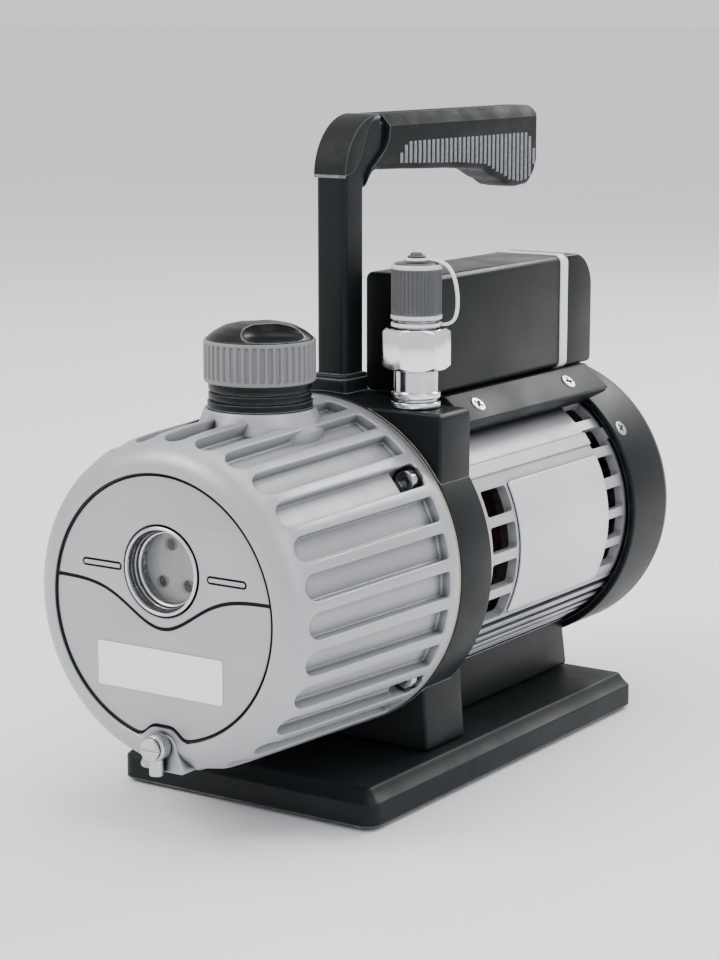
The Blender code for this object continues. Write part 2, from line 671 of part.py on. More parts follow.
def make_motor_inside():
    tube("stator_core", 53.0, 38.0, 12.0, 68.0, STEEL, "Y", on_shaft(), 36)
    winding = [
        (30.3, 84.0), (45.0, 84.0), (46.0, 68.3), (37.5, 68.3), (37.5, 11.7), (46.0, 11.7),
        (45.0, -4.0), (30.3, -4.0),
    ]
    turned("stator_winding", winding, COPPER, "Y", on_shaft(), 24, ring=True)
    tube("motor_rotor", 29.7, SHAFT_R + GAP, 8.0, 72.0, STEEL, "Y", on_shaft(), 24)
    cylinder("drive_shaft", SHAFT_R, -107.2, 127.0, STEEL, "Y", on_shaft(), 24)
    tube("shaft_seal", 12.0, SHAFT_R + 0.4, -45.7, -39.3, RUBBER, "Y", on_shaft(), 20)
    tube("front_bearing", 13.0, SHAFT_R + 0.4, -38.6, -29.5, STEEL, "Y", on_shaft(), 20)
    tube("rear_bearing", 13.0, SHAFT_R + 0.4, 95.6, 102.7, STEEL, "Y", on_shaft(), 20)
    shield = [
        (7.5, 108.0), (57.5, 108.0), (57.5, MOTOR_REAR + GAP), (18.0, MOTOR_REAR + GAP),
        (18.0, 95.0), (13.3, 95.0), (13.3, 103.0), (7.5, 103.0),
    ]
    end_shield = turned("rear_end_shield", shield, ALUMINIUM, "Y", on_shaft(), 24, ring=True)
    window = block("shield_window", (-6.0, 100.0, AXIS_Z + 26.0), (6.0, 110.0, AXIS_Z + 48.0))
    cut(end_shield, repeat_round_shaft("shield_windows", window, range(0, 360, 60)))


def make_fan():
    hub = [(7.3, 124.0), (14.0, 124.0), (14.0, 112.4), (51.0, 112.4), (51.0, 110.6), (7.3, 110.6)]
    fan = turned("fan", hub, BLACK_PLASTIC, "Y", on_shaft(), 24, ring=True)
    blade = block("fan_blade", (-0.9, 111.5, AXIS_Z + 13.0), (0.9, 124.0, AXIS_Z + 52.0))
    join(fan, repeat_round_shaft("fan_blades", blade, [i * 360 / 7 for i in range(7)]))

    shell = [
        (0, COVER_REAR), (56.0, COVER_REAR), (60.3, 132.4), (COVER_R, 128.5),
        (COVER_R, COVER_FRONT), (58.9, COVER_FRONT), (58.9, 128.0), (56.0, 131.0), (0, 131.0),
    ]
    cover = turned("fan_cover", shell, BLACK_CASTING, "Y", on_shaft(), 36)
    slit = block("grille_slit", (-2.2, 129.0, AXIS_Z + 17.0), (2.2, 136.0, AXIS_Z + 49.0))
    cut(cover, repeat_round_shaft("grille_slits", slit, range(0, 360, 30)))


def make_brackets():
    """The motor's foot on the base, and the saddle plate that carries the electrical box."""
    foot = prism("motor_foot", [(-30.0, BASE_TOP + GAP), (30.0, BASE_TOP + GAP), (26.0, 46.0),
                                (-26.0, 46.0)], "Y", PEDESTAL_REAR + 0.5, BRACKET_REAR, BLACK_CASTING)
    cut(foot, cylinder("foot_saddle", MOTOR_R + 0.5, -30.0, 110.0, None, "Y", on_shaft(), 60))
    under = [clock(MOTOR_R + 0.9, angle) for angle in range(-22, 37, 2)]
    over = [(46.5, 140.4), (48.0, 143.0), (37.0, BOX_LOW - GAP), (-11.0, BOX_LOW - GAP),
            (-22.5, 143.5)]
    prism("box_saddle", under + over, "Y", -18.0, BRACKET_REAR, BLACK_CASTING)


# ---------------------------------------------------------------- electrical box

def box_section(inset):
    return rounded_box(BOX_LEFT + inset, BOX_LOW + inset, BOX_RIGHT - inset, BOX_TOP - inset,
                       3.0 - inset * 0.8, 3)


def make_box():
    body = prism("box_body", box_section(0.0), "Y", BOX_FRONT, BOX_SEAM, BLACK_PLASTIC)
    cut(body, prism("box_hollow", box_section(BOX_WALL), "Y", BOX_FRONT + BOX_WALL, BOX_SEAM + 1))
    prism("box_gasket", box_section(0.2), "Y", BOX_SEAM + GAP, BOX_SEAM + 3 - GAP, WHITE_PLASTIC,
          [box_section(BOX_WALL + 0.2)])

    front = BOX_SEAM + 3
    side = rounded([(front, BOX_LOW, 0), (BOX_REAR, BOX_LOW, 2.0), (BOX_REAR, BOX_TOP, BOX_CORNER),
                    (front, BOX_TOP, 0)], 6)
    cover = prism("box_rear_cover", side, "X", BOX_LEFT, BOX_RIGHT, BLACK_PLASTIC)
    inner_corner = BOX_CORNER - BOX_WALL
    hollow = rounded([(front - 1, BOX_LOW + BOX_WALL, 0), (BOX_REAR - BOX_WALL, BOX_LOW + BOX_WALL, 0),
                      (BOX_REAR - BOX_WALL, BOX_TOP - BOX_WALL, inner_corner),
                      (front - 1, BOX_TOP - BOX_WALL, 0)], 6)
    socket = block("socket_opening", (6.2, 95.0, 157.0), (31.8, 110.0, 175.2))
    switch = block("switch_opening", (12.0, 95.0, 179.2), (26.0, 110.0, 188.2))
    cut(cover, prism("cover_hollow", hollow, "X", BOX_LEFT + BOX_WALL, BOX_RIGHT - BOX_WALL),
        socket, switch)

    rocker_axis = (19.0, 102.2, 183.7)
    outline = [(0.0, -3.2), (3.0, -3.0), (4.0, 1.8), (0.0, 2.9), (-4.0, 3.6), (-3.6, -1.6)]
    rocker = prism("power_rocker", [(rocker_axis[1] + v, rocker_axis[2] + u) for u, v in outline],
                   "X", 12.4, 25.6, RUBBER)
    set_origin(rocker, rocker_axis)

    inlet = block("mains_inlet", (4.0, BOX_REAR + GAP, 155.0), (34.0, BOX_REAR + 2.4, 177.0),
                  BLACK_PLASTIC)
    shell = block("inlet_shell", (6.5, 86.0, 157.3), (31.5, BOX_REAR + 1.0, 174.9))
    recess = block("inlet_recess", (8.3, 88.5, 159.2), (29.7, 110.0, 173.0))
    join(inlet, shell)
    cut(inlet, recess)
    for number, x in enumerate((12.0, 19.0, 26.0), 1):
        join(inlet, block(f"inlet_pin_{number}", (x - 1, 87.5, 164.1), (x + 1, 99.5, 168.1)))
    cylinder("run_capacitor", 12.0, -15.0, 45.0, ALUMINIUM, "Y", (19.0, 0.0, 170.0), 20)


# ---------------------------------------------------------------- handle

def make_handle():
    post = rounded([(POST_FRONT, 159.0, 0), (POST_REAR, 159.0, 0), (POST_REAR, 241.0, 9.0),
                    (GRIP_FRONT - GAP, 241.0, 0), (GRIP_FRONT - GAP, HANDLE_TOP, 0),
                    (POST_FRONT, HANDLE_TOP, 24.0)], 8)
    frame = prism("handle_frame", post, "X", -POST_X, POST_X, BLACK_CASTING)
    round_edges(frame, 3.0)
    arm = block("handle_arm", (-5.0, GRIP_FRONT - 4, 246.0), (5.0, 98.0, 257.0))
    foot = block("handle_foot", (-9.0, -47.0, BLOCK_TOP + GAP), (9.0, -29.5, 160.5), bevel=1.5)
    join(frame, arm, foot)
    cut(frame, cylinder("handle_seat", FRAME_R + GAP, -50.0, -28.0, None, "Y", on_shaft(), 84))

    grip_outline = rounded([
        (GRIP_FRONT, 240.0, 2.0), (62.0, 236.5, 20.0), (78.0, 230.0, 8.0), (84.0, 227.5, 8.0),
        (96.0, 227.5, 8.0), (GRIP_REAR, 238.0, 8.0), (GRIP_REAR, HANDLE_TOP, 5.0),
        (GRIP_FRONT, HANDLE_TOP, 0)], 4)
    grip = prism("handle_grip", grip_outline, "X", -GRIP_X, GRIP_X, RUBBER)
    round_edges(grip, 3.5)
    cut(grip, block("grip_hollow", (-5.3, GRIP_FRONT - 2, 245.7), (5.3, 98.4, 257.3)))


# ---------------------------------------------------------------- pump module

def make_pump_module():
    chamber = (0.0, 0.0, CHAMBER_Z)
    tube("stage_one_cylinder", CYLINDER_R, CHAMBER_R, -79.6, FRAME_FRONT - GAP, SILVER, "Y",
         chamber, 28)
    cup = [(0, -79.9), (CYLINDER_R, -79.9), (CYLINDER_R, -101.0), (CHAMBER_R, -101.0),
           (CHAMBER_R, -84.1), (0, -84.1)]
    second = turned("stage_two_cylinder", cup, SILVER, "Y", chamber, 28)
    cut(second, cylinder("partition_bore", 8.7, -90.0, -79.0, None, "Y", on_shaft(), 20))
    plate = cylinder("pump_end_plate", CYLINDER_R, -107.5, -101.3, STEEL, "Y", chamber, 28)
    cut(plate, cylinder("end_bearing_bore", SHAFT_R + 0.4, -110.0, -100.0, None, "Y", on_shaft(), 20))
    spool = [
        (SHAFT_R + GAP, -52.7), (PUMP_ROTOR_R, -52.7), (PUMP_ROTOR_R, -79.3), (8.2, -79.3),
        (8.2, -84.7), (PUMP_ROTOR_R, -84.7), (PUMP_ROTOR_R, -100.7), (SHAFT_R + GAP, -100.7),
    ]
    rotor = turned("pump_rotor", spool, STEEL, "Y", on_shaft(), 24, ring=True)
    slot = block("vane_slot", (-VANE_X - GAP, -102.0, AXIS_Z + VANE_ROOT - GAP),
                 (VANE_X + GAP, -50.0, AXIS_Z + 25.0))
    cut(rotor, repeat_round_shaft("vane_slots", slot, (0, 180)))
    for stage, low, high in ((1, -79.2, -52.8), (2, -100.6, -84.8)):
        for number, side in enumerate((1, -1), 1):
            ends = sorted((AXIS_Z + side * VANE_ROOT, AXIS_Z + side * VANE_TIP))
            vane = block(f"vane_{stage}_{number}", (-VANE_X, low, ends[0]), (VANE_X, high, ends[1]),
                         FIBRE)
            set_origin(vane, on_shaft((low + high) / 2))


make_base()
make_frame()
make_oil_case()
make_case_screws()
make_sight_glass()
make_drain_valve()
make_filler()
make_inlet()
make_motor_housing()
make_motor_inside()
make_fan()
make_brackets()
make_box()
make_handle()
make_pump_module()
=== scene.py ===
"""Looks of the two stage vacuum pump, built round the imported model.

Shapes are worked out in millimetres in the pump's own layout, where y = 0 is the middle of the
base, and place() turns each finished mesh into metres in the model's frame.
"""

import json
import math

import bmesh
import bpy
from mathutils import Matrix, Vector


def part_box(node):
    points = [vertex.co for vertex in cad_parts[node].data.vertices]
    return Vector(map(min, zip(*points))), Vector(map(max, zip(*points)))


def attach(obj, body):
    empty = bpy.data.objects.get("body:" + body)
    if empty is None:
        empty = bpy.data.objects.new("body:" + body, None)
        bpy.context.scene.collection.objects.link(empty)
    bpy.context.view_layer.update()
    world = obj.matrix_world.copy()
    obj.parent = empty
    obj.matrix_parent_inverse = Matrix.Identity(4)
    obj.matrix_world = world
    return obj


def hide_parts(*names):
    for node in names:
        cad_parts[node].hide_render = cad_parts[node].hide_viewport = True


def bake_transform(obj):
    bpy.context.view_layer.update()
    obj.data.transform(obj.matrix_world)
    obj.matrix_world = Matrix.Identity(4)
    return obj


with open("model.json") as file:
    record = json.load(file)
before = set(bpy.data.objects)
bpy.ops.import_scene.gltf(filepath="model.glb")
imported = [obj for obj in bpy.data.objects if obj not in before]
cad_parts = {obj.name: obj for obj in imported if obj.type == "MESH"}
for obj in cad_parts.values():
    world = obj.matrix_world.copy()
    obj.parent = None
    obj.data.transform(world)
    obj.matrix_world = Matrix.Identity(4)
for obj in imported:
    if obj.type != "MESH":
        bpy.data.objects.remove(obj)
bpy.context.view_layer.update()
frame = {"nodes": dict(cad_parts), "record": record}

MM = 0.001


def middle(node, axis):
    """Middle of a CAD node along one axis, in millimetres."""
    low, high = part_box(node)
    return (low[axis] + high[axis]) / 2 / MM


def edge(node, axis, side):
    """Lowest (side 0) or highest (side 1) place of a CAD node along one axis, in millimetres."""
    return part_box(node)[side][axis] / MM


# Places read from the frame
SHIFT_Y = middle("base_plate", 1)
AXIS_Z = middle("drive_shaft", 2)
BASE_X = edge("base_plate", 0, 1)
BASE_Y = edge("base_plate", 1, 1) - SHIFT_Y
BASE_TOP = edge("base_plate", 2, 1)
FOOT_X = middle("foot_rear_right", 0)
FOOT_Y = middle("foot_rear_right", 1) - SHIFT_Y
CASE_REAR = edge("oil_case", 1, 1) - SHIFT_Y
GLASS_Z = middle("sight_glass_bezel", 2)
DRAIN_Z = middle("drain_valve_knob", 2)
FILLER_Y = middle("filler_neck", 1) - SHIFT_Y
INLET_X = middle("inlet_cap", 0)
INLET_Y = middle("inlet_cap", 1) - SHIFT_Y
FRAME_FRONT = CASE_REAR + 1.4
FRAME_REAR = FRAME_FRONT + 23.0
MOTOR_FRONT = edge("motor_housing", 1, 0) - SHIFT_Y
MOTOR_REAR = edge("motor_housing", 1, 1) - SHIFT_Y
COVER_FRONT = edge("fan_cover", 1, 0) - SHIFT_Y
COVER_REAR = edge("fan_cover", 1, 1) - SHIFT_Y
BOX_LEFT = edge("box_body", 0, 0)
BOX_RIGHT = edge("box_body", 0, 1)
BOX_LOW = edge("box_body", 2, 0)
BOX_TOP = edge("box_body", 2, 1)
BOX_FRONT = edge("box_body", 1, 0) - SHIFT_Y
BOX_SEAM = edge("box_body", 1, 1) - SHIFT_Y
BOX_REAR = edge("box_rear_cover", 1, 1) - SHIFT_Y
HANDLE_TOP = edge("handle_frame", 2, 1)
GRIP_X = edge("handle_grip", 0, 1)
GRIP_FRONT = edge("handle_grip", 1, 0) - SHIFT_Y
GRIP_REAR = edge("handle_grip", 1, 1) - SHIFT_Y

SHAFT = (0.0, 0.0, AXIS_Z)

# Places measured on the drawing
FRAME_R = 66.5
INLET_SEAT = 150.8
POST_X = 7.0
POST_FRONT = -44.0
POST_REAR = -30.0

# How an outline's plane stands for a prism, and a profile's axis for a lathe
FRAMES = {
    "X": Matrix(((0, 0, 1), (1, 0, 0), (0, 1, 0))).to_4x4(),
    "Y": Matrix(((1, 0, 0), (0, 0, -1), (0, 1, 0))).to_4x4(),
    "Z": Matrix.Identity(4),
}
ALONG = {
    "X": Matrix.Rotation(math.pi / 2, 4, "Y"),
    "Y": Matrix.Rotation(-math.pi / 2, 4, "X"),
    "Z": Matrix.Identity(4),
}


# ---------------------------------------------------------------- outlines

def arc(u, v, radius, start, end, steps):
    """Points on an arc between two angles in degrees."""
    angles = [math.radians(start + (end - start) * i / steps) for i in range(steps + 1)]
    return [(u + radius * math.cos(a), v + radius * math.sin(a)) for a in angles]


def circle(u, v, radius, steps=96):
    return arc(u, v, radius, 0, 360, steps)[:-1]


def rounded(corners, steps=6, closed=True):
    """An outline through (u, v, radius) corners, where a corner with a radius is an arc."""
    outline = []
    last = len(corners) - 1
    for i, corner in enumerate(corners):
        u, v = corner[:2]
        radius = corner[2] if len(corner) > 2 else 0
        if radius == 0 or (not closed and i in (0, last)):
            outline.append((u, v))
            continue
        here = Vector((u, v))
        before = (Vector(corners[i - 1][:2]) - here).normalized()
        after = (Vector(corners[(i + 1) % len(corners)][:2]) - here).normalized()
        half = before.angle(after) / 2
        centre = here + (before + after).normalized() * radius / math.sin(half)
        start = here + before * radius / math.tan(half) - centre
        end = here + after * radius / math.tan(half) - centre
        first = math.degrees(math.atan2(start.y, start.x))
        sweep = (math.degrees(math.atan2(end.y, end.x)) - first + 180) % 360 - 180
        outline += arc(centre.x, centre.y, radius, first, first + sweep, steps)
    return outline


def rounded_box(left, low, right, high, radius, steps=6):
    corners = ((left, low), (right, low), (right, high), (left, high))
    return rounded([(*corner, radius) for corner in corners], steps)


def clock(radius, degrees):
    """A point in the XZ plane, at an angle from straight up towards +X, round the shaft."""
    angle = math.radians(degrees)
    return radius * math.sin(angle), AXIS_Z + radius * math.cos(angle)


# ---------------------------------------------------------------- meshes

def mesh_object(name, bm):
    mesh = bpy.data.meshes.new(name)
    bmesh.ops.recalc_face_normals(bm, faces=bm.faces)
    bm.to_mesh(mesh)
    bm.free()
    obj = bpy.data.objects.new(name, mesh)
    bpy.context.scene.collection.objects.link(obj)
    return obj


def bake_modifiers(obj):
    """Replace an object's mesh with the result of its modifiers."""
    bpy.context.view_layer.update()
    result = obj.evaluated_get(bpy.context.evaluated_depsgraph_get())
    mesh = bpy.data.meshes.new_from_object(result)
    obj.modifiers.clear()
    obj.data = mesh
    return obj


def skin(name, rings, closed_ends=True, loop=False):
    """A surface through rings of points, each ring with the same number of points."""
    bm = bmesh.new()
    rows = [[bm.verts.new(point) for point in ring] for ring in rings]
    pairs = list(zip(rows, rows[1:]))
    if loop:
        pairs.append((rows[-1], rows[0]))
    for a, b in pairs:
        for i in range(len(a)):
            j = (i + 1) % len(a)
            bm.faces.new((a[i], a[j], b[j], b[i]))
    if closed_ends and not loop:
        bm.faces.new(rows[0])
        bm.faces.new(rows[-1])
    return mesh_object(name, bm)


def lathe(name, profile, axis="Z", centre=(0.0, 0.0, 0.0), steps=96, shape=None):
    """Turn a (radius, distance) profile about an axis.

    A profile that starts and ends on the axis makes a solid, and any other is closed into a ring.
    shape(angle, radius, distance) may give each point's own radius, for ribs and flutes.
    """
    solid = profile[0][0] == 0
    points = profile[1:-1] if solid else profile
    rings = []
    for radius, distance in points:
        ring = []
        for i in range(steps):
            angle = math.tau * i / steps
            r = shape(angle, radius, distance) if shape else radius
            ring.append((r * math.cos(angle), r * math.sin(angle), distance))
        rings.append(ring)
    obj = skin(name, rings, closed_ends=solid, loop=not solid)
    obj.data.transform(Matrix.Translation(Vector(centre)) @ ALONG[axis])
    return obj


def rod(name, radius, start, end, axis, centre, steps):
    """A plain round bar along an axis, for a hole or a seat."""
    return lathe(name, [(0, start), (radius, start), (radius, end), (0, end)], axis, centre, steps)


def prism(name, outline, axis, low, high, soft=0.0, holes=(), segments=3):
    """A flat outline with holes, extruded from low to high, with its edges rounded by soft."""
    curve = bpy.data.curves.new(name, "CURVE")
    curve.dimensions = "2D"
    curve.fill_mode = "BOTH"
    curve.extrude = (high - low) / 2 - soft
    curve.bevel_depth = soft
    curve.bevel_resolution = segments
    curve.offset = -soft
    for loop in (outline, *holes):
        spline = curve.splines.new("POLY")
        spline.points.add(len(loop) - 1)
        for point, (u, v) in zip(spline.points, loop):
            point.co = (u, v, 0.0, 1.0)
        spline.use_cyclic_u = True
    guide = bpy.data.objects.new(name, curve)
    bpy.context.scene.collection.objects.link(guide)
    bpy.context.view_layer.update()
    filled = guide.evaluated_get(bpy.context.evaluated_depsgraph_get())
    mesh = bpy.data.meshes.new_from_object(filled)
    bpy.data.objects.remove(guide, do_unlink=True)
    mesh.materials.clear()
    at = Vector([(low + high) / 2 if letter == axis else 0.0 for letter in "XYZ"])
    mesh.transform(Matrix.Translation(at) @ FRAMES[axis])
    bm = bmesh.new()
    bm.from_mesh(mesh)
    bmesh.ops.remove_doubles(bm, verts=bm.verts, dist=0.002)
    return mesh_object(name, bm)


def slab(name, low, high, soft=0.5, segments=3):
    """A block between two corners, with rounded edges."""
    bm = bmesh.new()
    bmesh.ops.create_cube(bm, size=1.0)
    bmesh.ops.scale(bm, vec=Vector(high) - Vector(low), verts=bm.verts)
    bmesh.ops.translate(bm, vec=(Vector(high) + Vector(low)) / 2, verts=bm.verts)
    if soft:
        bmesh.ops.bevel(bm, geom=bm.edges, offset=soft, segments=segments, affect="EDGES",
                        profile=0.5)
    return mesh_object(name, bm)


def around(obj, degrees):
    """Copies of an object turned about the shaft, as one object."""
    to_shaft = Matrix.Translation(SHAFT)
    bm = bmesh.new()
    for angle in degrees:
        copy = obj.data.copy()
        turn = Matrix.Rotation(math.radians(angle), 4, "Y")
        copy.transform(to_shaft @ turn @ to_shaft.inverted())
        bm.from_mesh(copy)
        bpy.data.meshes.remove(copy)
    name = obj.name
    bpy.data.objects.remove(obj, do_unlink=True)
    return mesh_object(name, bm)


def merge(obj, *others):
    """Put other objects' meshes into one piece."""
    bm = bmesh.new()
    for each in (obj, *others):
        bm.from_mesh(each.data)
    for each in others:
        bpy.data.objects.remove(each, do_unlink=True)
    bm.to_mesh(obj.data)
    bm.free()
    return obj


def boolean(obj, operation, *tools):
    """Cut or join, with the result kept in the mesh."""
    for tool in tools:
        step = obj.modifiers.new(tool.name, "BOOLEAN")
        step.operation = operation
        step.solver = "EXACT"
        step.object = tool
    bake_modifiers(obj)
    for tool in tools:
        bpy.data.objects.remove(tool, do_unlink=True)
    bm = bmesh.new()
    bm.from_mesh(obj.data)
    bmesh.ops.remove_doubles(bm, verts=bm.verts, dist=0.002)
    bm.to_mesh(obj.data)
    bm.free()
    return obj


def cut(obj, *tools):
    return boolean(obj, "DIFFERENCE", *tools)


def join(obj, *tools):
    return boolean(obj, "UNION", *tools)


def soften(obj, width, segments=2, angle=40):
    """Round the sharp edges of a piece."""
    bevel = obj.modifiers.new("Rounded edges", "BEVEL")
    bevel.width = width
    bevel.segments = segments
    bevel.limit_method = "ANGLE"
    bevel.angle_limit = math.radians(angle)
    return bake_modifiers(obj)


def place(obj, look, replaces=(), body="root", smooth=32):
    """Finish a piece: to metres and into place, shaded, given its material and its body."""
    mesh = obj.data
    mesh.transform(Matrix.Diagonal((MM, MM, MM, 1.0)) @ Matrix.Translation((0.0, SHIFT_Y, 0.0)))
    mesh.materials.clear()
    mesh.materials.append(MATERIALS[look])
    for face in mesh.polygons:
        face.material_index = 0
        face.use_smooth = True
    mesh.set_sharp_from_angle(angle=math.radians(smooth))
    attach(obj, body)
    if replaces:
        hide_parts(*replaces)
    return obj


# ---------------------------------------------------------------- materials

class Surface:
    """A Principled material that is built up from small layers of detail.

    Every texture is read in the object's own metres, so a scale of 1000 is a 1 mm pattern.
    """

    def __init__(self, name, colour, roughness, metallic=0.0, **constants):
        self.material = bpy.data.materials.new(name)
        self.material.use_nodes = True
        self.tree = self.material.node_tree
        self.shader = self.tree.nodes["Principled BSDF"]
        self.place = self.add("ShaderNodeTexCoord").outputs["Object"]
        self.colour = (*colour, 1.0)
        self.roughness = roughness
        self.normal = None
        self.set(Metallic=metallic, **constants)

    def add(self, kind, **settings):
        node = self.tree.nodes.new(kind)
        for key, value in settings.items():
            setattr(node, key, value)
        return node

    def feed(self, node, name, value):
        """Give an input a socket or a plain value."""
        if isinstance(value, bpy.types.NodeSocket):
            self.tree.links.new(value, node.inputs[name])
        else:
            node.inputs[name].default_value = value

    def set(self, **constants):
        for name, value in constants.items():
            self.shader.inputs[name.replace("_", " ")].default_value = value

    def noise(self, scale, detail=3.0, stretch=None):
        place = self.place
        if stretch:
            mapping = self.add("ShaderNodeMapping")
            self.feed(mapping, "Vector", place)
            mapping.inputs["Scale"].default_value = stretch
            place = mapping.outputs["Vector"]
        noise = self.add("ShaderNodeTexNoise")
        self.feed(noise, "Vector", place)
        self.feed(noise, "Scale", scale)
        self.feed(noise, "Detail", detail)
        return noise.outputs["Fac"]

    def cells(self, scale):
        cells = self.add("ShaderNodeTexVoronoi")
        self.feed(cells, "Vector", self.place)
        self.feed(cells, "Scale", scale)
        return cells.outputs["Distance"]

    def stripes(self, scale, direction="Z", distortion=0.0):
        wave = self.add("ShaderNodeTexWave", bands_direction=direction)
        self.feed(wave, "Vector", self.place)
        self.feed(wave, "Scale", scale)
        self.feed(wave, "Distortion", distortion)
        return wave.outputs["Fac"]

    def between(self, value, low, high, out_low=0.0, out_high=1.0):
        ranged = self.add("ShaderNodeMapRange")
        self.feed(ranged, "Value", value)
        for name, number in zip(("From Min", "From Max", "To Min", "To Max"),
                                (low, high, out_low, out_high)):
            self.feed(ranged, name, number)
        return ranged.outputs["Result"]

    def blend(self, factor, a, b):
        """Mix two colours, each a socket or a plain colour."""
        mix = self.add("ShaderNodeMix", data_type="RGBA")
        self.feed(mix, 0, factor)
        for slot, value in ((6, a), (7, b)):
            if isinstance(value, bpy.types.NodeSocket):
                self.tree.links.new(value, mix.inputs[slot])
            else:
                mix.inputs[slot].default_value = (*value[:3], 1.0)
        return mix.outputs[2]

    def tint(self, pattern, colour, low, high, strength=1.0):
        """Let another colour show where a pattern runs from low to high."""
        share = self.between(pattern, low, high, 0.0, strength)
        self.colour = self.blend(share, self.colour, colour)
        return self

    def uneven(self, pattern, spread):
        """Let the roughness vary with a pattern."""
        self.roughness = self.between(pattern, 0.3, 0.7, self.roughness - spread,
                                      self.roughness + spread)
        return self

    def bumps(self, pattern, height, strength=1.0):
        """Raise the surface by a pattern, height millimetres high."""
        bump = self.add("ShaderNodeBump")
        self.feed(bump, "Height", pattern)
        self.feed(bump, "Distance", height * MM)
        self.feed(bump, "Strength", strength)
        if self.normal:
            self.feed(bump, "Normal", self.normal)
        self.normal = bump.outputs["Normal"]
        return self

    def painted_corner_shade(self, colour, reach, strength=1.0, low=0.35, high=0.85):
        """Darken the corners and hollows by ambient occlusion: painted shade."""
        shade = self.add("ShaderNodeAmbientOcclusion", samples=8)
        self.feed(shade, "Distance", reach * MM)
        return self.tint(shade.outputs["AO"], colour, high, low, strength)

    def rubbed_and_highlit_edges(self, colour, radius, strength=1.0):
        """Rub the edges lighter: partly wear, partly a painted highlight along every edge."""
        soft = self.add("ShaderNodeBevel", samples=6)
        self.feed(soft, "Radius", radius * MM)
        true = self.add("ShaderNodeNewGeometry").outputs["Normal"]
        dot = self.add("ShaderNodeVectorMath", operation="DOT_PRODUCT")
        self.feed(dot, 0, soft.outputs["Normal"])
        self.feed(dot, 1, true)
        patchy = self.between(self.noise(260.0, 2.0), 0.3, 0.6, 0.5, 1.0)
        mask = self.add("ShaderNodeMath", operation="MULTIPLY")
        self.feed(mask, 0, self.between(dot.outputs["Value"], 0.995, 0.90))
        self.feed(mask, 1, patchy)
        return self.tint(mask.outputs["Value"], colour, 0.0, 1.0, strength)

    def done(self):
        self.feed(self.shader, "Base Color", self.colour)
        self.feed(self.shader, "Roughness", self.roughness)
        if self.normal:
            self.feed(self.shader, "Normal", self.normal)
        return self.material


def cast_silver(name, colour, roughness):
    """Silver paint over a die casting: a fine orange peel, a sparkle and painted shade in the
    corners.
    """
    look = Surface(name, colour, roughness, 0.35, Coat_Weight=0.15, Coat_Roughness=0.3)
    look.tint(look.noise(22.0, 4.0), [c * 0.86 for c in colour], 0.35, 0.7, 0.7)
    look.tint(look.noise(5200.0, 1.0), (0.85, 0.86, 0.88), 0.62, 0.75, 0.35)
    # Painted shade: the slots and corners darkened by ambient occlusion
    look.painted_corner_shade((0.022, 0.023, 0.025), 6.0, 1.0, 0.42, 0.92)
    look.uneven(look.noise(60.0), 0.06)
    look.bumps(look.noise(900.0, 2.0), 0.05, 0.5)
    return look.done()


def black_paint(name, colour, roughness, grain, height, rub_and_highlight):
    """Black powder coat or moulded plastic, with its grain and with edges lighter, partly rubbed
    wear and partly a painted highlight.
    """
    look = Surface(name, colour, roughness, Specular_IOR_Level=0.19)
    look.tint(look.noise(30.0, 4.0), [c * 1.8 + 0.001 for c in colour], 0.45, 0.75, 0.5)
    look.tint(look.noise(2600.0, 1.0), (0.03, 0.034, 0.037), 0.6, 0.75, 0.3)
    # Light edges: partly rubbed wear, partly a painted highlight along every edge
    look.rubbed_and_highlit_edges((0.50, 0.52, 0.54), 0.65, rub_and_highlight)
    look.uneven(look.noise(45.0), 0.07)
    look.bumps(look.noise(grain, 2.0), height, 0.6)
    return look.done()


def bare_metal(name, colour, roughness, direction="Z", lines=1400.0):
    """Turned or plated metal, with faint tool marks and smudges."""
    look = Surface(name, colour, roughness, 1.0)
    look.tint(look.noise(70.0, 3.0), [c * 0.72 for c in colour], 0.45, 0.75, 0.5)
    # Painted shade: corners and hollows darkened by ambient occlusion
    look.painted_corner_shade([c * 0.15 for c in colour], 2.5, 0.8)
    look.uneven(look.noise(160.0, 4.0), roughness * 0.4)
    look.bumps(look.stripes(lines, direction, 1.0), 0.006, 0.35)
    return look.done()


def moulded(name, colour, roughness, grain=1700.0, height=0.02):
    """Plain moulded plastic with a fine grain."""
    look = Surface(name, colour, roughness)
    look.tint(look.noise(40.0, 3.0), [c * 0.85 for c in colour], 0.4, 0.7, 0.6)
    # Painted shade: corners and hollows darkened by ambient occlusion
    look.painted_corner_shade([c * 0.25 for c in colour], 2.5, 0.8)
    look.uneven(look.noise(90.0), 0.06)
    look.bumps(look.noise(grain, 2.0), height, 0.5)
    return look.done()


def rubber(name, colour=(0.0045, 0.0056, 0.0062), roughness=0.62):
    look = Surface(name, colour, roughness, Specular_IOR_Level=0.2, Sheen_Weight=0.02,
                   Sheen_Roughness=0.5)
    look.tint(look.cells(900.0), [c * 2.0 for c in colour], 0.25, 0.6, 0.5)
    # Light edges: partly rubbed wear, partly a painted highlight
    look.rubbed_and_highlit_edges((0.30, 0.31, 0.32), 0.55, 0.6)
    look.uneven(look.noise(110.0), 0.08)
    look.bumps(look.cells(1100.0), 0.03, 0.5)
    return look.done()


def plate(name, colour, roughness):
    """Brushed plate with nothing printed on it."""
    look = Surface(name, colour, roughness, 0.25, Coat_Weight=0.3, Coat_Roughness=0.15)
    brushed = look.noise(60.0, 3.0, (1.0, 1.0, 60.0))
    look.tint(brushed, [c * 0.88 for c in colour], 0.35, 0.7, 0.5)
    look.tint(look.noise(14.0, 1.0), [min(c * 1.12, 0.95) for c in colour], 0.4, 0.65, 0.6)
    look.uneven(brushed, 0.08)
    look.bumps(brushed, 0.01, 0.3)
    return look.done()


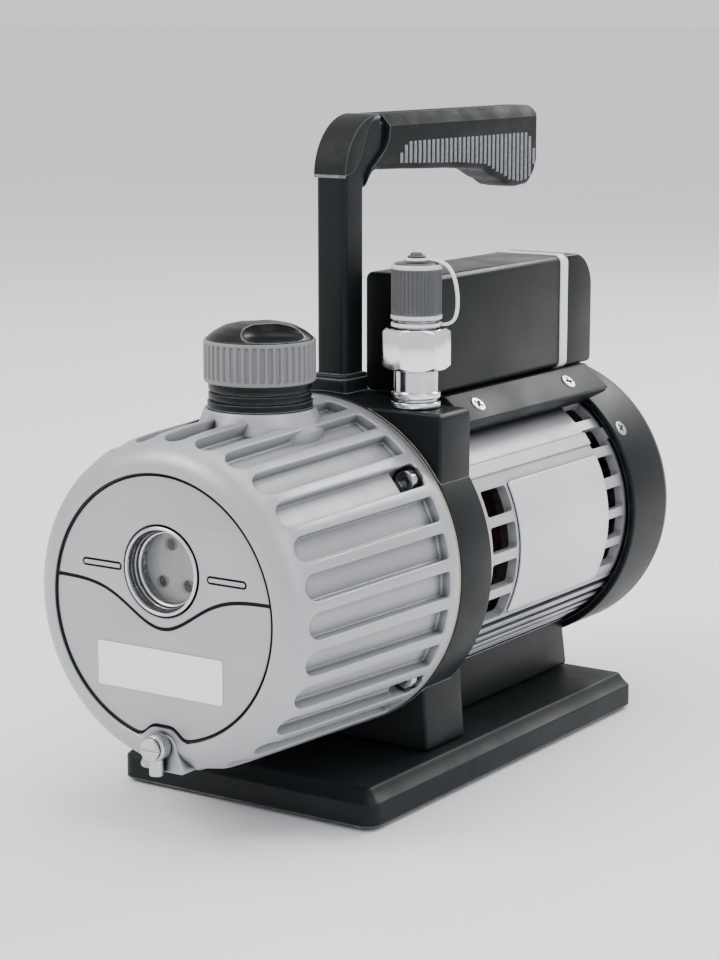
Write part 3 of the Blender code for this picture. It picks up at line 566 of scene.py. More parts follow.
def stacked(name, colour, direction, scale, height):
    """Laminations or wound wire, seen as fine parallel ridges."""
    look = Surface(name, colour, 0.4, 0.9)
    ridges = look.stripes(scale, direction, 0.4)
    look.tint(ridges, [c * 0.25 for c in colour], 0.5, 0.1, 0.9)
    look.tint(look.noise(80.0), [c * 0.7 for c in colour], 0.4, 0.7, 0.6)
    look.bumps(ridges, height, 0.8)
    return look.done()


def clear_glass(name):
    look = Surface(name, (0.97, 0.98, 0.98), 0.03, 0.0, Transmission_Weight=1.0, IOR=1.47,
                   Alpha=0.35)
    look.tint(look.noise(50.0), (0.90, 0.94, 0.93), 0.4, 0.7, 0.5)
    look.bumps(look.noise(40.0, 1.0), 0.01, 0.1)
    return look.done()


# How each look is made: its function, its name and its settings
LOOKS = (
    (cast_silver, "silver_casting", (0.40, 0.41, 0.425), 0.40),
    (cast_silver, "silver_housing", (0.47, 0.48, 0.495), 0.36),
    (black_paint, "black_casting", (0.0035, 0.0052, 0.0060), 0.42, 1500.0, 0.06, 0.75),
    (black_paint, "base_plastic", (0.0040, 0.0058, 0.0066), 0.46, 1300.0, 0.07, 0.75),
    (black_paint, "black_plastic", (0.0030, 0.0044, 0.0050), 0.34, 2400.0, 0.03, 0.6),
    (rubber, "soft_black"),
    (rubber, "rubber", (0.008, 0.008, 0.009), 0.8),
    (bare_metal, "aluminium", (0.66, 0.67, 0.69), 0.30, "Y"),
    (bare_metal, "steel", (0.52, 0.53, 0.54), 0.28, "Y"),
    (bare_metal, "chrome", (0.86, 0.87, 0.89), 0.14, "Z"),
    (bare_metal, "brass", (0.62, 0.50, 0.26), 0.30, "Z"),
    (bare_metal, "cast_iron", (0.22, 0.22, 0.23), 0.55, "Y", 700.0),
    (stacked, "lamination_steel", (0.36, 0.37, 0.39), "Y", 320.0, 0.08),
    (stacked, "winding", (0.10, 0.045, 0.025), "Z", 260.0, 0.20),
    # Mid grey of the exhaust cap's ribbed skirt: a painted highlight on black plastic
    (moulded, "cap_grey", (0.20, 0.205, 0.21), 0.42),
    (moulded, "white_plastic", (0.78, 0.79, 0.80), 0.38),
    (moulded, "fibre", (0.34, 0.29, 0.21), 0.9, 700.0, 0.15),
    (plate, "blank_plate", (0.68, 0.70, 0.72), 0.36),
    (clear_glass, "glass"),
    (plate, "label", (0.86, 0.86, 0.85), 0.45),
    (rubber, "grip_ribs", (0.15, 0.155, 0.16), 0.6),
    (moulded, "cap_dark", (0.075, 0.078, 0.08), 0.40),
    (moulded, "cap_light", (0.62, 0.63, 0.64), 0.36),
    (black_paint, "cap_black", (0.0030, 0.0040, 0.0045), 0.32, 2400.0, 0.03, 0.9),
)
MATERIALS = {name: maker(name, *settings) for maker, name, *settings in LOOKS}


# ---------------------------------------------------------------- base

def make_base():
    """Ledged base plate with a hollow underside and a pad over each foot."""
    low = edge("base_plate", 2, 0)
    corner = 6.0
    wall = 4.0
    under = BASE_TOP - 4.0
    ledge = 4.5
    # Inset and height of each line round the plate, from the hollow out and over to the deck
    lines = [(wall, under), (wall, low + 0.4), (wall - 0.4, low), (0.5, low), (0.0, low + 0.5)]
    lines += [(0.0, BASE_TOP - 5.9), (0.15, BASE_TOP - 5.4), (0.55, BASE_TOP - 5.0)]
    lines += [(0.95, BASE_TOP - 4.8), (ledge - 0.8, BASE_TOP - 1.5), (ledge - 0.3, BASE_TOP - 0.7)]
    lines += [(ledge + 0.2, BASE_TOP - 0.2), (ledge + 0.9, BASE_TOP)]
    rings = []
    for inset, height in lines:
        x = BASE_X - inset
        y = BASE_Y - inset
        outline = rounded_box(-x, -y, x, y, max(corner - inset, 0.8), 8)
        rings.append([(u, v, height) for u, v in outline])
    base = skin("base_plate_body", rings)
    pads = []
    for side_x in (-1, 1):
        for side_y in (-1, 1):
            pads.append(lathe("foot_pad", [(0, under + 0.5), (10.5, under + 0.5), (10.0, 5.8),
                                           (9.6, 5.4), (0, 5.4)], "Z",
                              (side_x * FOOT_X, side_y * FOOT_Y, 0.0), 40))
    join(base, *pads)
    place(base, "base_plastic", ["base_plate"])
    profile = rounded([(0, 5.0), (9.2, 5.0, 0.5), (9.2, 2.4, 0.3), (8.6, 2.0, 0.2), (8.6, 0, 1.0),
                       (4.0, 0, 0.3), (3.6, 1.0, 0.3), (0, 1.0)], 4, closed=False)
    for side_x, x_name in ((-1, "left"), (1, "right")):
        for side_y, y_name in ((-1, "front"), (1, "rear")):
            foot = lathe(f"rubber_foot_{y_name}_{x_name}", profile, "Z",
                         (side_x * FOOT_X, side_y * FOOT_Y, 0.0), 56)
            place(foot, "rubber", [f"foot_{y_name}_{x_name}"])


# ---------------------------------------------------------------- pump frame

def screw(name, at, axis, radius, recess, replaces, spin):
    """A screw's head with a socket or a cross, its top face at the given place."""
    height = 3.2
    head = lathe(name, rounded([(0, 0.0), (radius, 0.0, 0.5), (radius, -height, 0.2),
                                (0, -height)], 5, closed=False), "Z", steps=48)
    if recess == "hex":
        tool = prism("socket", circle(0.0, 0.0, radius * 0.55, 6), "Z", -2.0, 1.0)
        cut(head, tool)
    else:
        long = radius * 0.62
        wide = radius * 0.16
        cut(head, slab("cross_a", (-long, -wide, -1.3), (long, wide, 1.0), 0.0),
            slab("cross_b", (-wide, -long, -1.3), (wide, long, 1.0), 0.0))
    soften(head, 0.12, 1)
    turn = Matrix.Rotation(math.radians(spin), 4, "Z")
    aim = axis.to_track_quat("Z", "Y").to_matrix().to_4x4()
    head.data.transform(Matrix.Translation(at) @ aim @ turn)
    place(head, "steel", replaces)


def make_frame():
    """The black casting between the motor and the oil case, with its pedestal and inlet block."""
    back = rounded([(0, FRAME_REAR), (FRAME_R, FRAME_REAR, 1.6), (FRAME_R, FRAME_FRONT, 0.6),
                    (0, FRAME_FRONT)], 5, closed=False)
    body = lathe("frame_casting", back, "Y", SHAFT, 144)
    half = 47.0
    pedestal = rounded([(-half - 3, BASE_TOP + 0.3, 1.6), (half + 3, BASE_TOP + 0.3, 1.6),
                        (half, 52.0, 1.6), (-half, 52.0, 1.6)], 3)
    foot = prism("pedestal", pedestal, "Y", -50.0, -22.0, 1.2)
    cut(foot, rod("saddle", 57.9, 5.0, FRAME_REAR + 0.2, "Y", SHAFT, 144))
    block = rounded([(-30.0, 120.0), (50.0, 112.0), (56.0, 118.0, 2.0), (56.0, INLET_SEAT, 2.6),
                     (-30.0, INLET_SEAT, 4.0)], 6)
    inlet_block = prism("inlet_block", block, "Y", FRAME_FRONT + 0.4, FRAME_REAR - 0.4, 1.2)
    join(body, foot, inlet_block)
    well = [(0, 160.0), (6.3, 160.0), (6.3, 142.0), (3.0, 140.0), (3.0, 90.0), (0, 90.0)]
    bore = [(0, FRAME_REAR + 2), (13.6, FRAME_REAR + 2), (13.6, -38.5), (8.2, -38.5), (8.2, -53.0),
            (0, -53.0)]
    cut(body, lathe("well", well, "Z", (INLET_X, INLET_Y, 0.0), 48),
        lathe("bore", bore, "Y", SHAFT, 48))
    place(body, "black_casting", ["pump_frame"])
    ring = lathe("case_gasket_ring", [(66.0, FRAME_FRONT - 1.1), (66.0, FRAME_FRONT - 0.3),
                                      (54.5, FRAME_FRONT - 0.3), (54.5, FRAME_FRONT - 1.1)],
                 "Y", SHAFT, 144)
    place(ring, "fibre", ["case_gasket"])


# ---------------------------------------------------------------- oil case

SLOTS = 28
SLOT_HALF = 5.0
SLOT_REAR = -60.0
SLOT_NOSE = -141.0
SLOT_FLOOR = 62.0
SLOT_TILT = math.tan(math.radians(3.0))
HALF_PITCH = math.pi / SLOTS
PATCH_REAR = SLOT_REAR + 2.4
PATCH_FRONT = SLOT_NOSE - 7.5
RIM_FRONT = -153.4
FACE_R = 50.2
RIM_R = FACE_R + 0.8
CASE_TAPER = 0.0405
TAPER_START = -58.0
ROUND_START = -135.0
ROUND_POWER = 2.2
SLOT_CORNER = 1.2
SCREW_SLOTS = (4, 10, 18, 24)
SCREW_RING_R = 61.5
PATCH_STEPS = 6
NOSE_STEPS = 12
SIDE_STEPS = 8


def case_radius(y):
    """Outer radius of the case: a slight cone that rounds over to the front rim."""
    if y > ROUND_START:
        return min(FRAME_R + (y - TAPER_START) * CASE_TAPER, FRAME_R)
    t = min((ROUND_START - y) / (ROUND_START - RIM_FRONT), 1.0)
    shoulder = FRAME_R + (ROUND_START - TAPER_START) * CASE_TAPER
    return RIM_R + (shoulder - RIM_R) * math.sqrt(max(1.0 - t ** ROUND_POWER, 0.0))


def slot_outline(grow):
    """A slot's outline (across, along), bigger by grow, from its rear edge round the nose."""
    half = SLOT_HALF + grow
    rear = SLOT_REAR + grow
    corner = max(SLOT_CORNER + grow, 0.3)
    points = [(-half / 3, rear), (0.0, rear), (half / 3, rear)]
    points += arc(half - corner, rear - corner, corner, 90, 0, 2)
    points += [(half, rear - corner + (SLOT_NOSE - rear + corner) * i / SIDE_STEPS)
               for i in range(1, SIDE_STEPS)]
    points += arc(0.0, SLOT_NOSE, half, 0, -180, NOSE_STEPS)
    points += [(-half, SLOT_NOSE + (rear - corner - SLOT_NOSE) * i / SIDE_STEPS)
               for i in range(1, SIDE_STEPS)]
    points += arc(-half + corner, rear - corner, corner, 180, 90, 2)
    return points


def patch_outline():
    """The patch of case round one slot, with a point for each point of the slot's outline."""
    def side(y):
        return math.sin(HALF_PITCH) * case_radius(y)
    rear = side(PATCH_REAR)
    points = [(-rear / 3, PATCH_REAR), (0.0, PATCH_REAR), (rear / 3, PATCH_REAR)]
    start = SLOT_REAR - SLOT_CORNER
    points += [(rear * 2 / 3, PATCH_REAR), (rear, PATCH_REAR), (side(start), start)]
    right = [start + (SLOT_NOSE - start) * i / SIDE_STEPS for i in range(1, SIDE_STEPS)]
    points += [(side(y), y) for y in right]
    quarter = NOSE_STEPS // 4
    down = [SLOT_NOSE + (PATCH_FRONT - SLOT_NOSE) * i / quarter for i in range(quarter + 1)]
    nose = [(side(y), y) for y in down]
    nose += [(side(PATCH_FRONT) * (1 - i / quarter), PATCH_FRONT) for i in range(1, quarter + 1)]
    points += nose + [(-u, v) for u, v in reversed(nose[:-1])]
    points += [(-side(y), y) for y in reversed(right)]
    points += [(-side(start), start), (-rear, PATCH_REAR), (-rear * 2 / 3, PATCH_REAR)]
    return points


def on_case(point, sink=0.0):
    across, along = point
    return (across, along, AXIS_Z + math.sqrt(case_radius(along) ** 2 - across ** 2) - sink)


def on_floor(point, lift=0.0):
    across, along = point
    return (across, along, AXIS_Z + SLOT_FLOOR + (along - SLOT_REAR) * SLOT_TILT + lift)


def slot_patch():
    """One slot with its share of the case: rounded edge, wall, fillet and floor."""
    bm = bmesh.new()
    soft = 0.7
    fillet = 0.9
    rings = [[on_case(p) for p in patch_outline()]]
    for degrees in (0, 30, 60, 90):
        a = math.radians(degrees)
        rings.append([on_case(p, soft * (1 - math.cos(a)))
                      for p in slot_outline(soft * (1 - math.sin(a)))])
    for degrees in (0, 30, 60, 90):
        a = math.radians(degrees)
        rings.append([on_floor(p, fillet * (1 - math.sin(a)))
                      for p in slot_outline(-fillet * (1 - math.cos(a)))])
    rows = [[bm.verts.new(p) for p in ring] for ring in rings]
    count = len(rows[0])
    for a, b in zip(rows, rows[1:]):
        for i in range(count):
            j = (i + 1) % count
            bm.faces.new((a[i], b[i], b[j], a[j]))
    # The floor runs as a ladder between the slot's two sides
    floor = rows[-1]
    right = floor[1:count // 2 + 2]
    left = [floor[(1 - i) % count] for i in range(count // 2 + 1)]
    for i in range(len(right) - 1):
        corners = []
        for vert in (right[i], right[i + 1], left[i + 1], left[i]):
            if vert not in corners:
                corners.append(vert)
        if len(corners) > 2:
            bm.faces.new(corners)
    return mesh_object("slot_patch", bm)


def turn_in_step(bm, profile):
    """Turn a profile about the shaft, with its points in step with the edges of the patches."""
    rows = []
    for radius, y in profile:
        if radius == 0:
            rows.append([bm.verts.new((0.0, y, AXIS_Z))])
            continue
        row = []
        for patch in range(SLOTS):
            for i in range(PATCH_STEPS):
                across = math.sin(HALF_PITCH) * (2 * i / PATCH_STEPS - 1)
                angle = math.asin(across) + patch * 2 * HALF_PITCH
                row.append(bm.verts.new((radius * math.sin(angle), y,
                                         AXIS_Z + radius * math.cos(angle))))
        rows.append(row)
    for a, b in zip(rows, rows[1:]):
        for i in range(len(a)):
            j = (i + 1) % len(a)
            if len(b) == 1:
                bm.faces.new((a[i], a[j], b[0]))
            else:
                bm.faces.new((a[i], a[j], b[j], b[i]))


def make_oil_case():
    """The silver casting with its slots, filler boss, drain lug and screws."""
    pattern = slot_patch()
    case = around(pattern, [k * 360 / SLOTS for k in range(SLOTS)])
    case.name = "oil_case_casting"
    # The rest of the case is turned: the front rim, the face, the hollow and the rear flange
    front = []
    steps = 14
    for i in range(steps + 1):
        y = PATCH_FRONT + (RIM_FRONT - PATCH_FRONT) * math.sin(i / steps * math.pi / 2)
        front.append((case_radius(y), y))
    front += [(FACE_R + 0.3, RIM_FRONT - 0.02), (FACE_R, RIM_FRONT + 0.25), (FACE_R, -151.4)]
    front += [(0, -151.4)]
    rear = [(case_radius(PATCH_REAR), PATCH_REAR), (FRAME_R, CASE_REAR - 0.6), (66.1, CASE_REAR),
            (54.5, CASE_REAR), (54.0, CASE_REAR - 0.5), (54.0, -142.0), (49.0, -147.6), (0, -147.6)]
    bm = bmesh.new()
    bm.from_mesh(case.data)
    turn_in_step(bm, front)
    turn_in_step(bm, rear)
    bmesh.ops.remove_doubles(bm, verts=bm.verts, dist=0.004)
    bmesh.ops.recalc_face_normals(bm, faces=bm.faces)
    bm.to_mesh(case.data)
    bm.free()

    boss = rounded([(0, 154.5), (21.2, 154.5, 0.8), (22.0, 152.2, 1.5), (23.0, 149.6, 1.5),
                    (24.5, 147.0, 1.5), (25.2, 138.0), (0, 138.0)], 6, closed=False)
    filler = lathe("filler_boss", boss, "Z", (0.0, FILLER_Y, 0.0), 96)
    lug_outline = rounded([(-11.0, 27.0, 1.5), (11.0, 27.0, 1.5), (7.2, 35.0, 4.0),
                           (6.4, 41.4, 6.2), (-6.4, 41.4, 6.2), (-7.2, 35.0, 4.0)], 6)
    lug = prism("drain_lug", lug_outline, "Y", -154.0, -138.0, 0.8)
    xs = [i - 11.0 for i in range(23)]
    arch_outline = [(x, AXIS_Z - math.sqrt((FACE_R + 1.0) ** 2 - x ** 2)) for x in xs]
    arch_outline += [(x, AXIS_Z - math.sqrt(FACE_R ** 2 - x ** 2) + 0.2 + arch_lift(x))
                     for x in reversed(xs)]
    arch = prism("rim_arch", arch_outline, "Y", RIM_FRONT + 0.1, -150.0)
    join(case, filler, lug, arch)
    tools = [
        rod("filler_bore", 16.3, 160.0, 130.0, "Z", (0.0, FILLER_Y, 0.0), 64),
        rod("glass_bore", 17.0, -140.0, -160.0, "Y", (0.0, 0.0, GLASS_Z), 72),
        rod("drain_bore", 4.5, -141.0, -160.0, "Y", (0.0, 0.0, DRAIN_Z), 40),
    ]
    seat = rod("screw_seat", 5.3, SLOT_REAR + 0.8, -71.0, "Y",
               (0.0, 0.0, AXIS_Z + SCREW_RING_R), 40)
    tools.append(around(seat, [k * 360 / SLOTS for k in SCREW_SLOTS]))
    cut(case, *tools)
    place(case, "silver_casting", ["oil_case"], smooth=38)
    for number, k in enumerate(SCREW_SLOTS, 1):
        x, z = clock(SCREW_RING_R, k * 360 / SLOTS)
        screw(f"case_screw_head_{number}", (x, SLOT_REAR - 5.0, z), Vector((0, -1, 0)),
              4.3, "hex", [f"case_screw_{number}"], k * 17.0)


# ---------------------------------------------------------------- oil case front

def wave_height(x):
    """The line across the face, which dips under the sight glass."""
    return WAVE_END_Z - WAVE_DEPTH * math.exp(-(x / WAVE_WIDTH) ** 2)


def arch_lift(x):
    """How far the face's lower edge rises over the drain."""
    return ARCH_HEIGHT * math.exp(-(x / ARCH_WIDTH) ** 4)


# Side, middle and half length of each oil level mark
LEVEL_MARKS = (("left", -27.6, 8.6), ("right", 29.6, 8.2))
FACE_FRONT = -152.6
FACE_BACK = -151.2
GLASS_R = 17.3
WAVE_END_Z = AXIS_Z + 7.5
WAVE_DEPTH = 15.0
WAVE_WIDTH = 20.0
ARCH_HEIGHT = 5.4
ARCH_WIDTH = 8.0


def make_face():
    """The two face plates with the line between them, the level marks and the blank label."""
    radius = FACE_R - 1.2
    half_line = 0.65
    tilt = math.degrees(math.asin(7.5 / radius))
    reach = radius * math.cos(math.radians(tilt)) - 0.2
    xs = [reach * (i / 30 - 1) for i in range(61)]
    upper = arc(0.0, AXIS_Z, radius, tilt + 1.2, 180 - tilt - 1.2, 90)
    upper += [(x, wave_height(x) + half_line) for x in xs]
    lower = [(u, v + arch_lift(u)) for u, v in
             arc(0.0, AXIS_Z, radius, 180 - tilt + 1.2, 360 + tilt - 1.2, 150)]
    lower += [(x, wave_height(x) - half_line) for x in reversed(xs)]
    glass = circle(0.0, GLASS_Z, GLASS_R, 96)
    marks = [rounded_box(x - half - 0.6, 100.1, x + half + 0.6, 103.1, 1.45, 6)
             for side, x, half in LEVEL_MARKS]
    top = prism("face_upper", upper, "Y", FACE_FRONT, FACE_BACK, 0.35, [glass] + marks, 2)
    place(top, "silver_casting")
    bottom = prism("face_lower", lower, "Y", FACE_FRONT, FACE_BACK, 0.35, (), 2)
    place(bottom, "silver_casting")
    # Dark sheet behind the face plates, seen through the line between them and round the level
    # marks: painted shade in the gaps
    layer_between = prism("face_shade_backing", circle(0.0, AXIS_Z, FACE_R - 0.2, 144), "Y", -151.75, -151.3, 0.0,
                 [circle(0.0, GLASS_Z, 17.2)])
    place(layer_between, "rubber")
    for side, x, half in LEVEL_MARKS:
        bar = prism(f"level_mark_{side}", rounded_box(x - half, 100.8, x + half, 102.4, 0.78, 6),
                    "Y", FACE_FRONT - 0.1, FACE_BACK, 0.3, (), 2)
        place(bar, "silver_casting")
    label = prism("blank_label", rounded_box(-30.0, 55.8, 27.5, 72.6, 1.0, 5), "Y", -152.95, -152.5,
                  0.12, (), 2)
    place(label, "label")


HOLE_RING_R = 8.5
HOLE_ANGLES = (345, 225, 140)


def make_sight_glass():
    """Bezel, glass and a white disc with three dark holes, with dark rings in the bezel's steps as
    painted shade.
    """
    centre = (0.0, 0.0, GLASS_Z)
    profile = rounded([
        (14.4, -141.0), (16.6, -141.0), (16.6, -153.0, 0.5), (15.3, -153.5, 0.4),
        (15.3, -151.6, 0.2), (14.9, -151.2, 0.2), (14.9, -150.0, 0.2), (14.3, -149.6, 0.2),
        (14.3, -148.4, 0.2),
        (13.2, -147.9, 0.3), (13.2, -147.0), (14.4, -147.0),
    ], 4)
    bezel = lathe("sight_glass_ring", profile, "Y", centre, 96)
    place(bezel, "aluminium", ["sight_glass_bezel"])
    pane = rounded([(0, -143.7), (14.0, -143.7), (14.0, -146.7, 0.5), (8.0, -146.9, 2.0),
                    (0, -147.0)], 4, closed=False)
    place(lathe("sight_glass_pane", pane, "Y", centre, 72), "glass",
          ["sight_glass_lens"])
    disc = lathe("sight_glass_disc", rounded([(0, -142.2), (14.0, -142.2), (14.0, -143.4, 0.3),
                                              (0, -143.4)], 3, closed=False), "Y", centre, 72)
    marks = []
    tools = []
    for degrees in HOLE_ANGLES:
        angle = math.radians(degrees)
        spot = (HOLE_RING_R * math.sin(angle), 0.0, GLASS_Z + HOLE_RING_R * math.cos(angle))
        tools.append(rod("hole", 2.5, -142.6, -144.0, "Y", spot, 32))
        marks.append(lathe("mark", rounded([(0, -142.5), (2.35, -142.5), (2.35, -143.5, 0.4),
                                            (0, -143.7)], 4, closed=False), "Y", spot, 32))
    cut(disc, *tools)
    place(disc, "white_plastic", ["sight_glass_reflector"])
    # Dark rings in the inner corners of the bezel's steps: painted shade
    for radius, y in ((15.3, -151.9), (14.9, -150.4), (14.3, -148.8)):
        ring = rounded([(radius + 0.1, y), (radius + 0.1, y + 0.7), (radius - 0.5, y + 0.7),
                        (radius - 0.5, y, 0.25)], 3)
        marks.append(lathe("ring", ring, "Y", centre, 96))
    merge(*marks)
    marks[0].name = "sight_glass_plugs_and_shade_rings"
    place(marks[0], "rubber")


def make_drain():
    centre = (0.0, 0.0, DRAIN_Z)
    barrel = rounded([
        (0, -147.0), (4.0, -147.0), (4.0, -154.2), (5.1, -154.4, 0.4), (5.1, -158.8, 0.6),
        (4.4, -159.6, 0.4), (3.0, -159.6), (3.0, -152.0), (0, -152.0),
    ], 4, closed=False)
    body = lathe("drain_fitting", barrel, "Y", centre, 72)
    spout = rounded([(2.7, 26.4, 0.4), (2.7, 33.0), (1.4, 33.0), (1.4, 26.4, 0.3)], 3)
    join(body, lathe("spout", spout, "Z", (0.0, -156.9, 0.0), 40))
    place(body, "steel", ["drain_valve_body"])
    knob = rounded([(0, -152.4), (2.6, -152.4), (2.6, -160.0), (4.3, -160.0, 0.3),
                    (4.3, -161.4, 0.4), (0, -161.4)], 4, closed=False)
    stem = lathe("drain_screw", knob, "Y", centre, 72)
    cut(stem, slab("knob_slot", (-6.0, -162.0, DRAIN_Z - 0.6), (6.0, -160.9, DRAIN_Z + 0.6), 0.0))
    soften(stem, 0.1, 1)
    place(stem, "steel", ["drain_valve_knob"], "drain_knob")


# ---------------------------------------------------------------- exhaust and oil filler

def fade(height, low, high, run):
    """1 between two heights, and falling to 0 over a short run beyond each."""
    rise = min(max((height - low) / run, 0.0), 1.0)
    return rise * min(max((high - height) / run, 0.0), 1.0)


CAP_RIBS = 44
CAP_TURN = 58.0
FINGER_REACH = 21.5


def make_filler():
    centre = (0.0, FILLER_Y, 0.0)
    profile = rounded([
        (13.0, 174.0, 0.4), (16.8, 174.0, 0.6), (16.8, 164.3, 0.2), (19.6, 164.2, 0.4),
        (19.6, 161.6, 0.4), (18.3, 161.3, 0.15), (18.3, 160.9, 0.15), (19.6, 160.6, 0.4),
        (19.6, 158.4, 0.4), (18.3, 158.1, 0.15), (18.3, 157.7, 0.15), (20.0, 157.4, 0.4),
        (20.0, 154.8), (16.0, 154.8), (16.0, 146.0), (9.0, 146.0), (9.0, 148.0), (13.0, 148.0),
    ], 4)
    place(lathe("filler_tube", profile, "Z", centre, 112), "black_plastic", ["filler_neck"])

    def ribbed(angle, radius, height):
        """Flat topped ribs that run out below the rims."""
        if radius < 20.0:
            return radius
        wave = math.sin(angle * CAP_RIBS)
        deep = 0.75 * fade(height, 165.6, 179.4, 0.7)
        return radius - deep * min(max(0.5 - 1.6 * wave, 0.0), 1.0)

    rise = [165.6, 165.9, 166.3, 169.0, 172.0, 175.5, 178.7, 179.0, 179.4]
    outer = [(21.3, z) for z in rise]
    skirt = [(17.3, 165.0), (17.6, 164.5), (20.8, 164.5), (21.2, 164.8)] + outer
    skirt += [(21.3, 179.8), (21.1, 180.3), (20.7, 180.5), (18.0, 180.5), (17.3, 179.6)]
    # The ribbed skirt is mid grey, lighter than the black dome: a painted highlight on ribs that
    # are black plastic like the dome
    place(lathe("exhaust_cap_skirt", skirt, "Z", centre, CAP_RIBS * 10, ribbed),
          "cap_grey", ["exhaust_cap"], "exhaust_cap_body")
    dome = rounded([(0, 187.0), (8.0, 186.6, 8.0), (13.5, 185.4, 9.0), (17.5, 183.2, 6.0),
                    (20.3, 180.9, 0.5), (20.3, 180.0, 0.3), (17.0, 179.8), (17.0, 176.0),
                    (0, 176.0)], 5, closed=False)
    top = lathe("exhaust_cap_top", dome, "Z", centre, 112)
    bowl = [(0, 192.0), (16.4, 192.0), (16.2, 186.0), (15.6, 183.6), (14.4, 182.2), (12.5, 181.4),
            (9.0, 181.05), (0, 181.0)]
    turn = math.radians(CAP_TURN)
    tools = []
    for side in (-1, 1):
        reach = side * FINGER_REACH
        at = (reach * math.sin(turn), FILLER_Y - reach * math.cos(turn), 0.0)
        tools.append(lathe("finger_hollow", bowl, "Z", at, 96))
    cut(top, *tools)
    soften(top, 0.4, 2, 30)
    place(top, "cap_black", (), "exhaust_cap_body", 30)


# ---------------------------------------------------------------- inlet

NUT_R = 13.3
NUT_TURN = 33.8


def make_inlet():
    centre = (INLET_X, INLET_Y, 0.0)
    profile = rounded([
        (2.4, 201.7), (5.5, 201.7, 0.4), (5.5, 185.4, 0.3), (7.8, 185.0, 0.4), (7.8, 180.0),
        (8.6, 179.5), (8.6, 157.4, 0.2), (9.6, 157.2, 0.6), (9.6, 154.8, 0.6), (8.2, 154.6, 0.2),
        (8.2, 153.6, 0.2), (9.6, 153.4, 0.6), (9.6, 150.9, 0.6), (6.0, 150.9), (6.0, 143.5),
        (5.0, 143.5), (5.0, 176.0), (2.4, 176.0),
    ], 4)
    place(lathe("inlet_barrel", profile, "Z", centre, 88), "chrome",
          ["inlet_fitting"])
    low, high = 166.0, 181.8
    corners = arc(INLET_X, INLET_Y, NUT_R, NUT_TURN, NUT_TURN + 300, 5)
    nut = prism("inlet_nut", corners, "Z", low, high, 0.3)
    flat = NUT_R * math.cos(math.radians(30))
    chamfer = [(0, high + 0.1), (flat - 0.2, high + 0.1), (NUT_R + 0.3, high - 1.7),
               (NUT_R + 0.3, low + 1.7), (flat - 0.2, low - 0.1), (0, low - 0.1)]
    boolean(nut, "INTERSECT", lathe("nut_chamfer", chamfer, "Z", centre, 96))
    cut(nut, rod("nut_bore", 7.5, 183.0, 164.0, "Z", centre, 48))
    soften(nut, 0.15, 1)
    place(nut, "chrome")


def make_inlet_cap():
    """Knurled cap, its pin and the strap that keeps it on the fitting."""
    centre = (INLET_X, INLET_Y, 0.0)
    knurls = 36
    top = edge("inlet_cap", 2, 1)

    def knurled(angle, radius, height):
        """Round fluting between the two rims."""
        if radius < 9.7:
            return radius
        deep = 0.55 * fade(height, 187.4, 204.2, 0.4)
        return radius - deep * (0.5 + 0.5 * math.sin(angle * knurls)) ** 0.8

    profile = [(0, 203.5), (5.9, 203.5), (5.9, 186.0), (6.2, 185.3), (9.3, 185.3), (9.7, 185.8)]
    rise = (186.2, 187.2, 187.5, 187.8, 191.0, 195.0, 199.0, 203.7, 204.0, 204.3)
    profile += [(9.8, z) for z in rise]
    profile += [(9.4, 205.8), (8.4, top - 0.2), (7.8, top), (7.2, top), (7.0, top - 0.3)]
    body = lathe("inlet_cap_knurl", profile + [(0, top - 0.3)], "Z", centre, knurls * 8, knurled)
    place(body, "cap_dark", ["inlet_cap"], "inlet_cap_body")
    for name, low, high in (("low", 185.25, 187.2), ("high", 204.5, 206.3)):
        band = rounded([(9.9, low, 0.5), (9.9, high, 0.5), (8.9, high), (8.9, low)], 4)
        rim = lathe(f"inlet_cap_rim_{name}", band, "Z", centre, 96)
        place(rim, "cap_light", (), "inlet_cap_body")

    pin = rounded([(0, 210.8), (2.4, 210.7, 0.6), (2.5, 209.7, 0.2), (3.6, 209.5, 0.2),
                   (3.6, 208.95, 0.2), (2.4, 208.9, 0.1), (2.4, 207.3), (0, 207.3)], 4,
                  closed=False)
    place(lathe("tether_pin", pin, "Z", centre, 56), "cap_dark",
          ["tether_button"], "inlet_cap_seat")

    lean = math.radians(18.0)
    low_z = 183.2
    high_z = 208.1
    path = []
    steps = 48
    for i in range(steps + 1):
        part = i / steps
        reach = 4.2 + 4.7 * part + 9.5 * math.sin(math.pi * part) ** 0.6
        height = high_z + (low_z - high_z) * (part - math.sin(math.tau * part) / math.tau * 0.75)
        x = INLET_X + reach * math.cos(lean)
        y = INLET_Y + reach * math.sin(lean)
        path.append(Vector((x, y, height)))
    side = Vector((-math.sin(lean), math.cos(lean), 0.0))
    section = rounded_box(-1.25, -0.6, 1.25, 0.6, 0.5, 3)
    rings = []
    for i, at in enumerate(path):
        along = (path[min(i + 1, steps)] - path[max(i - 1, 0)]).normalized()
        out = side.cross(along)
        rings.append([at + side * u + out * v for u, v in section])
    strap = skin("cap_strap", rings)
    eyes = []
    for name, inner, outer, low, high in (("upper_eye", 2.8, 5.0, 207.5, 208.7),
                                          ("lower_eye", 8.0, 9.8, 182.4, 184.0)):
        eye = rounded([(outer, low, 0.4), (outer, high, 0.4), (inner, high, 0.3),
                       (inner, low, 0.3)], 3)
        eyes.append(lathe(name, eye, "Z", centre, 64))
    join(strap, *eyes)
    place(strap, "white_plastic")
    strap.parent = None
    strap.matrix_world = Matrix.Identity(4)
    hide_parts("cap_tether")
    at = Vector((INLET_X, INLET_Y + SHIFT_Y, 0.0)) * MM
    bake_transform(strap)


# ---------------------------------------------------------------- motor

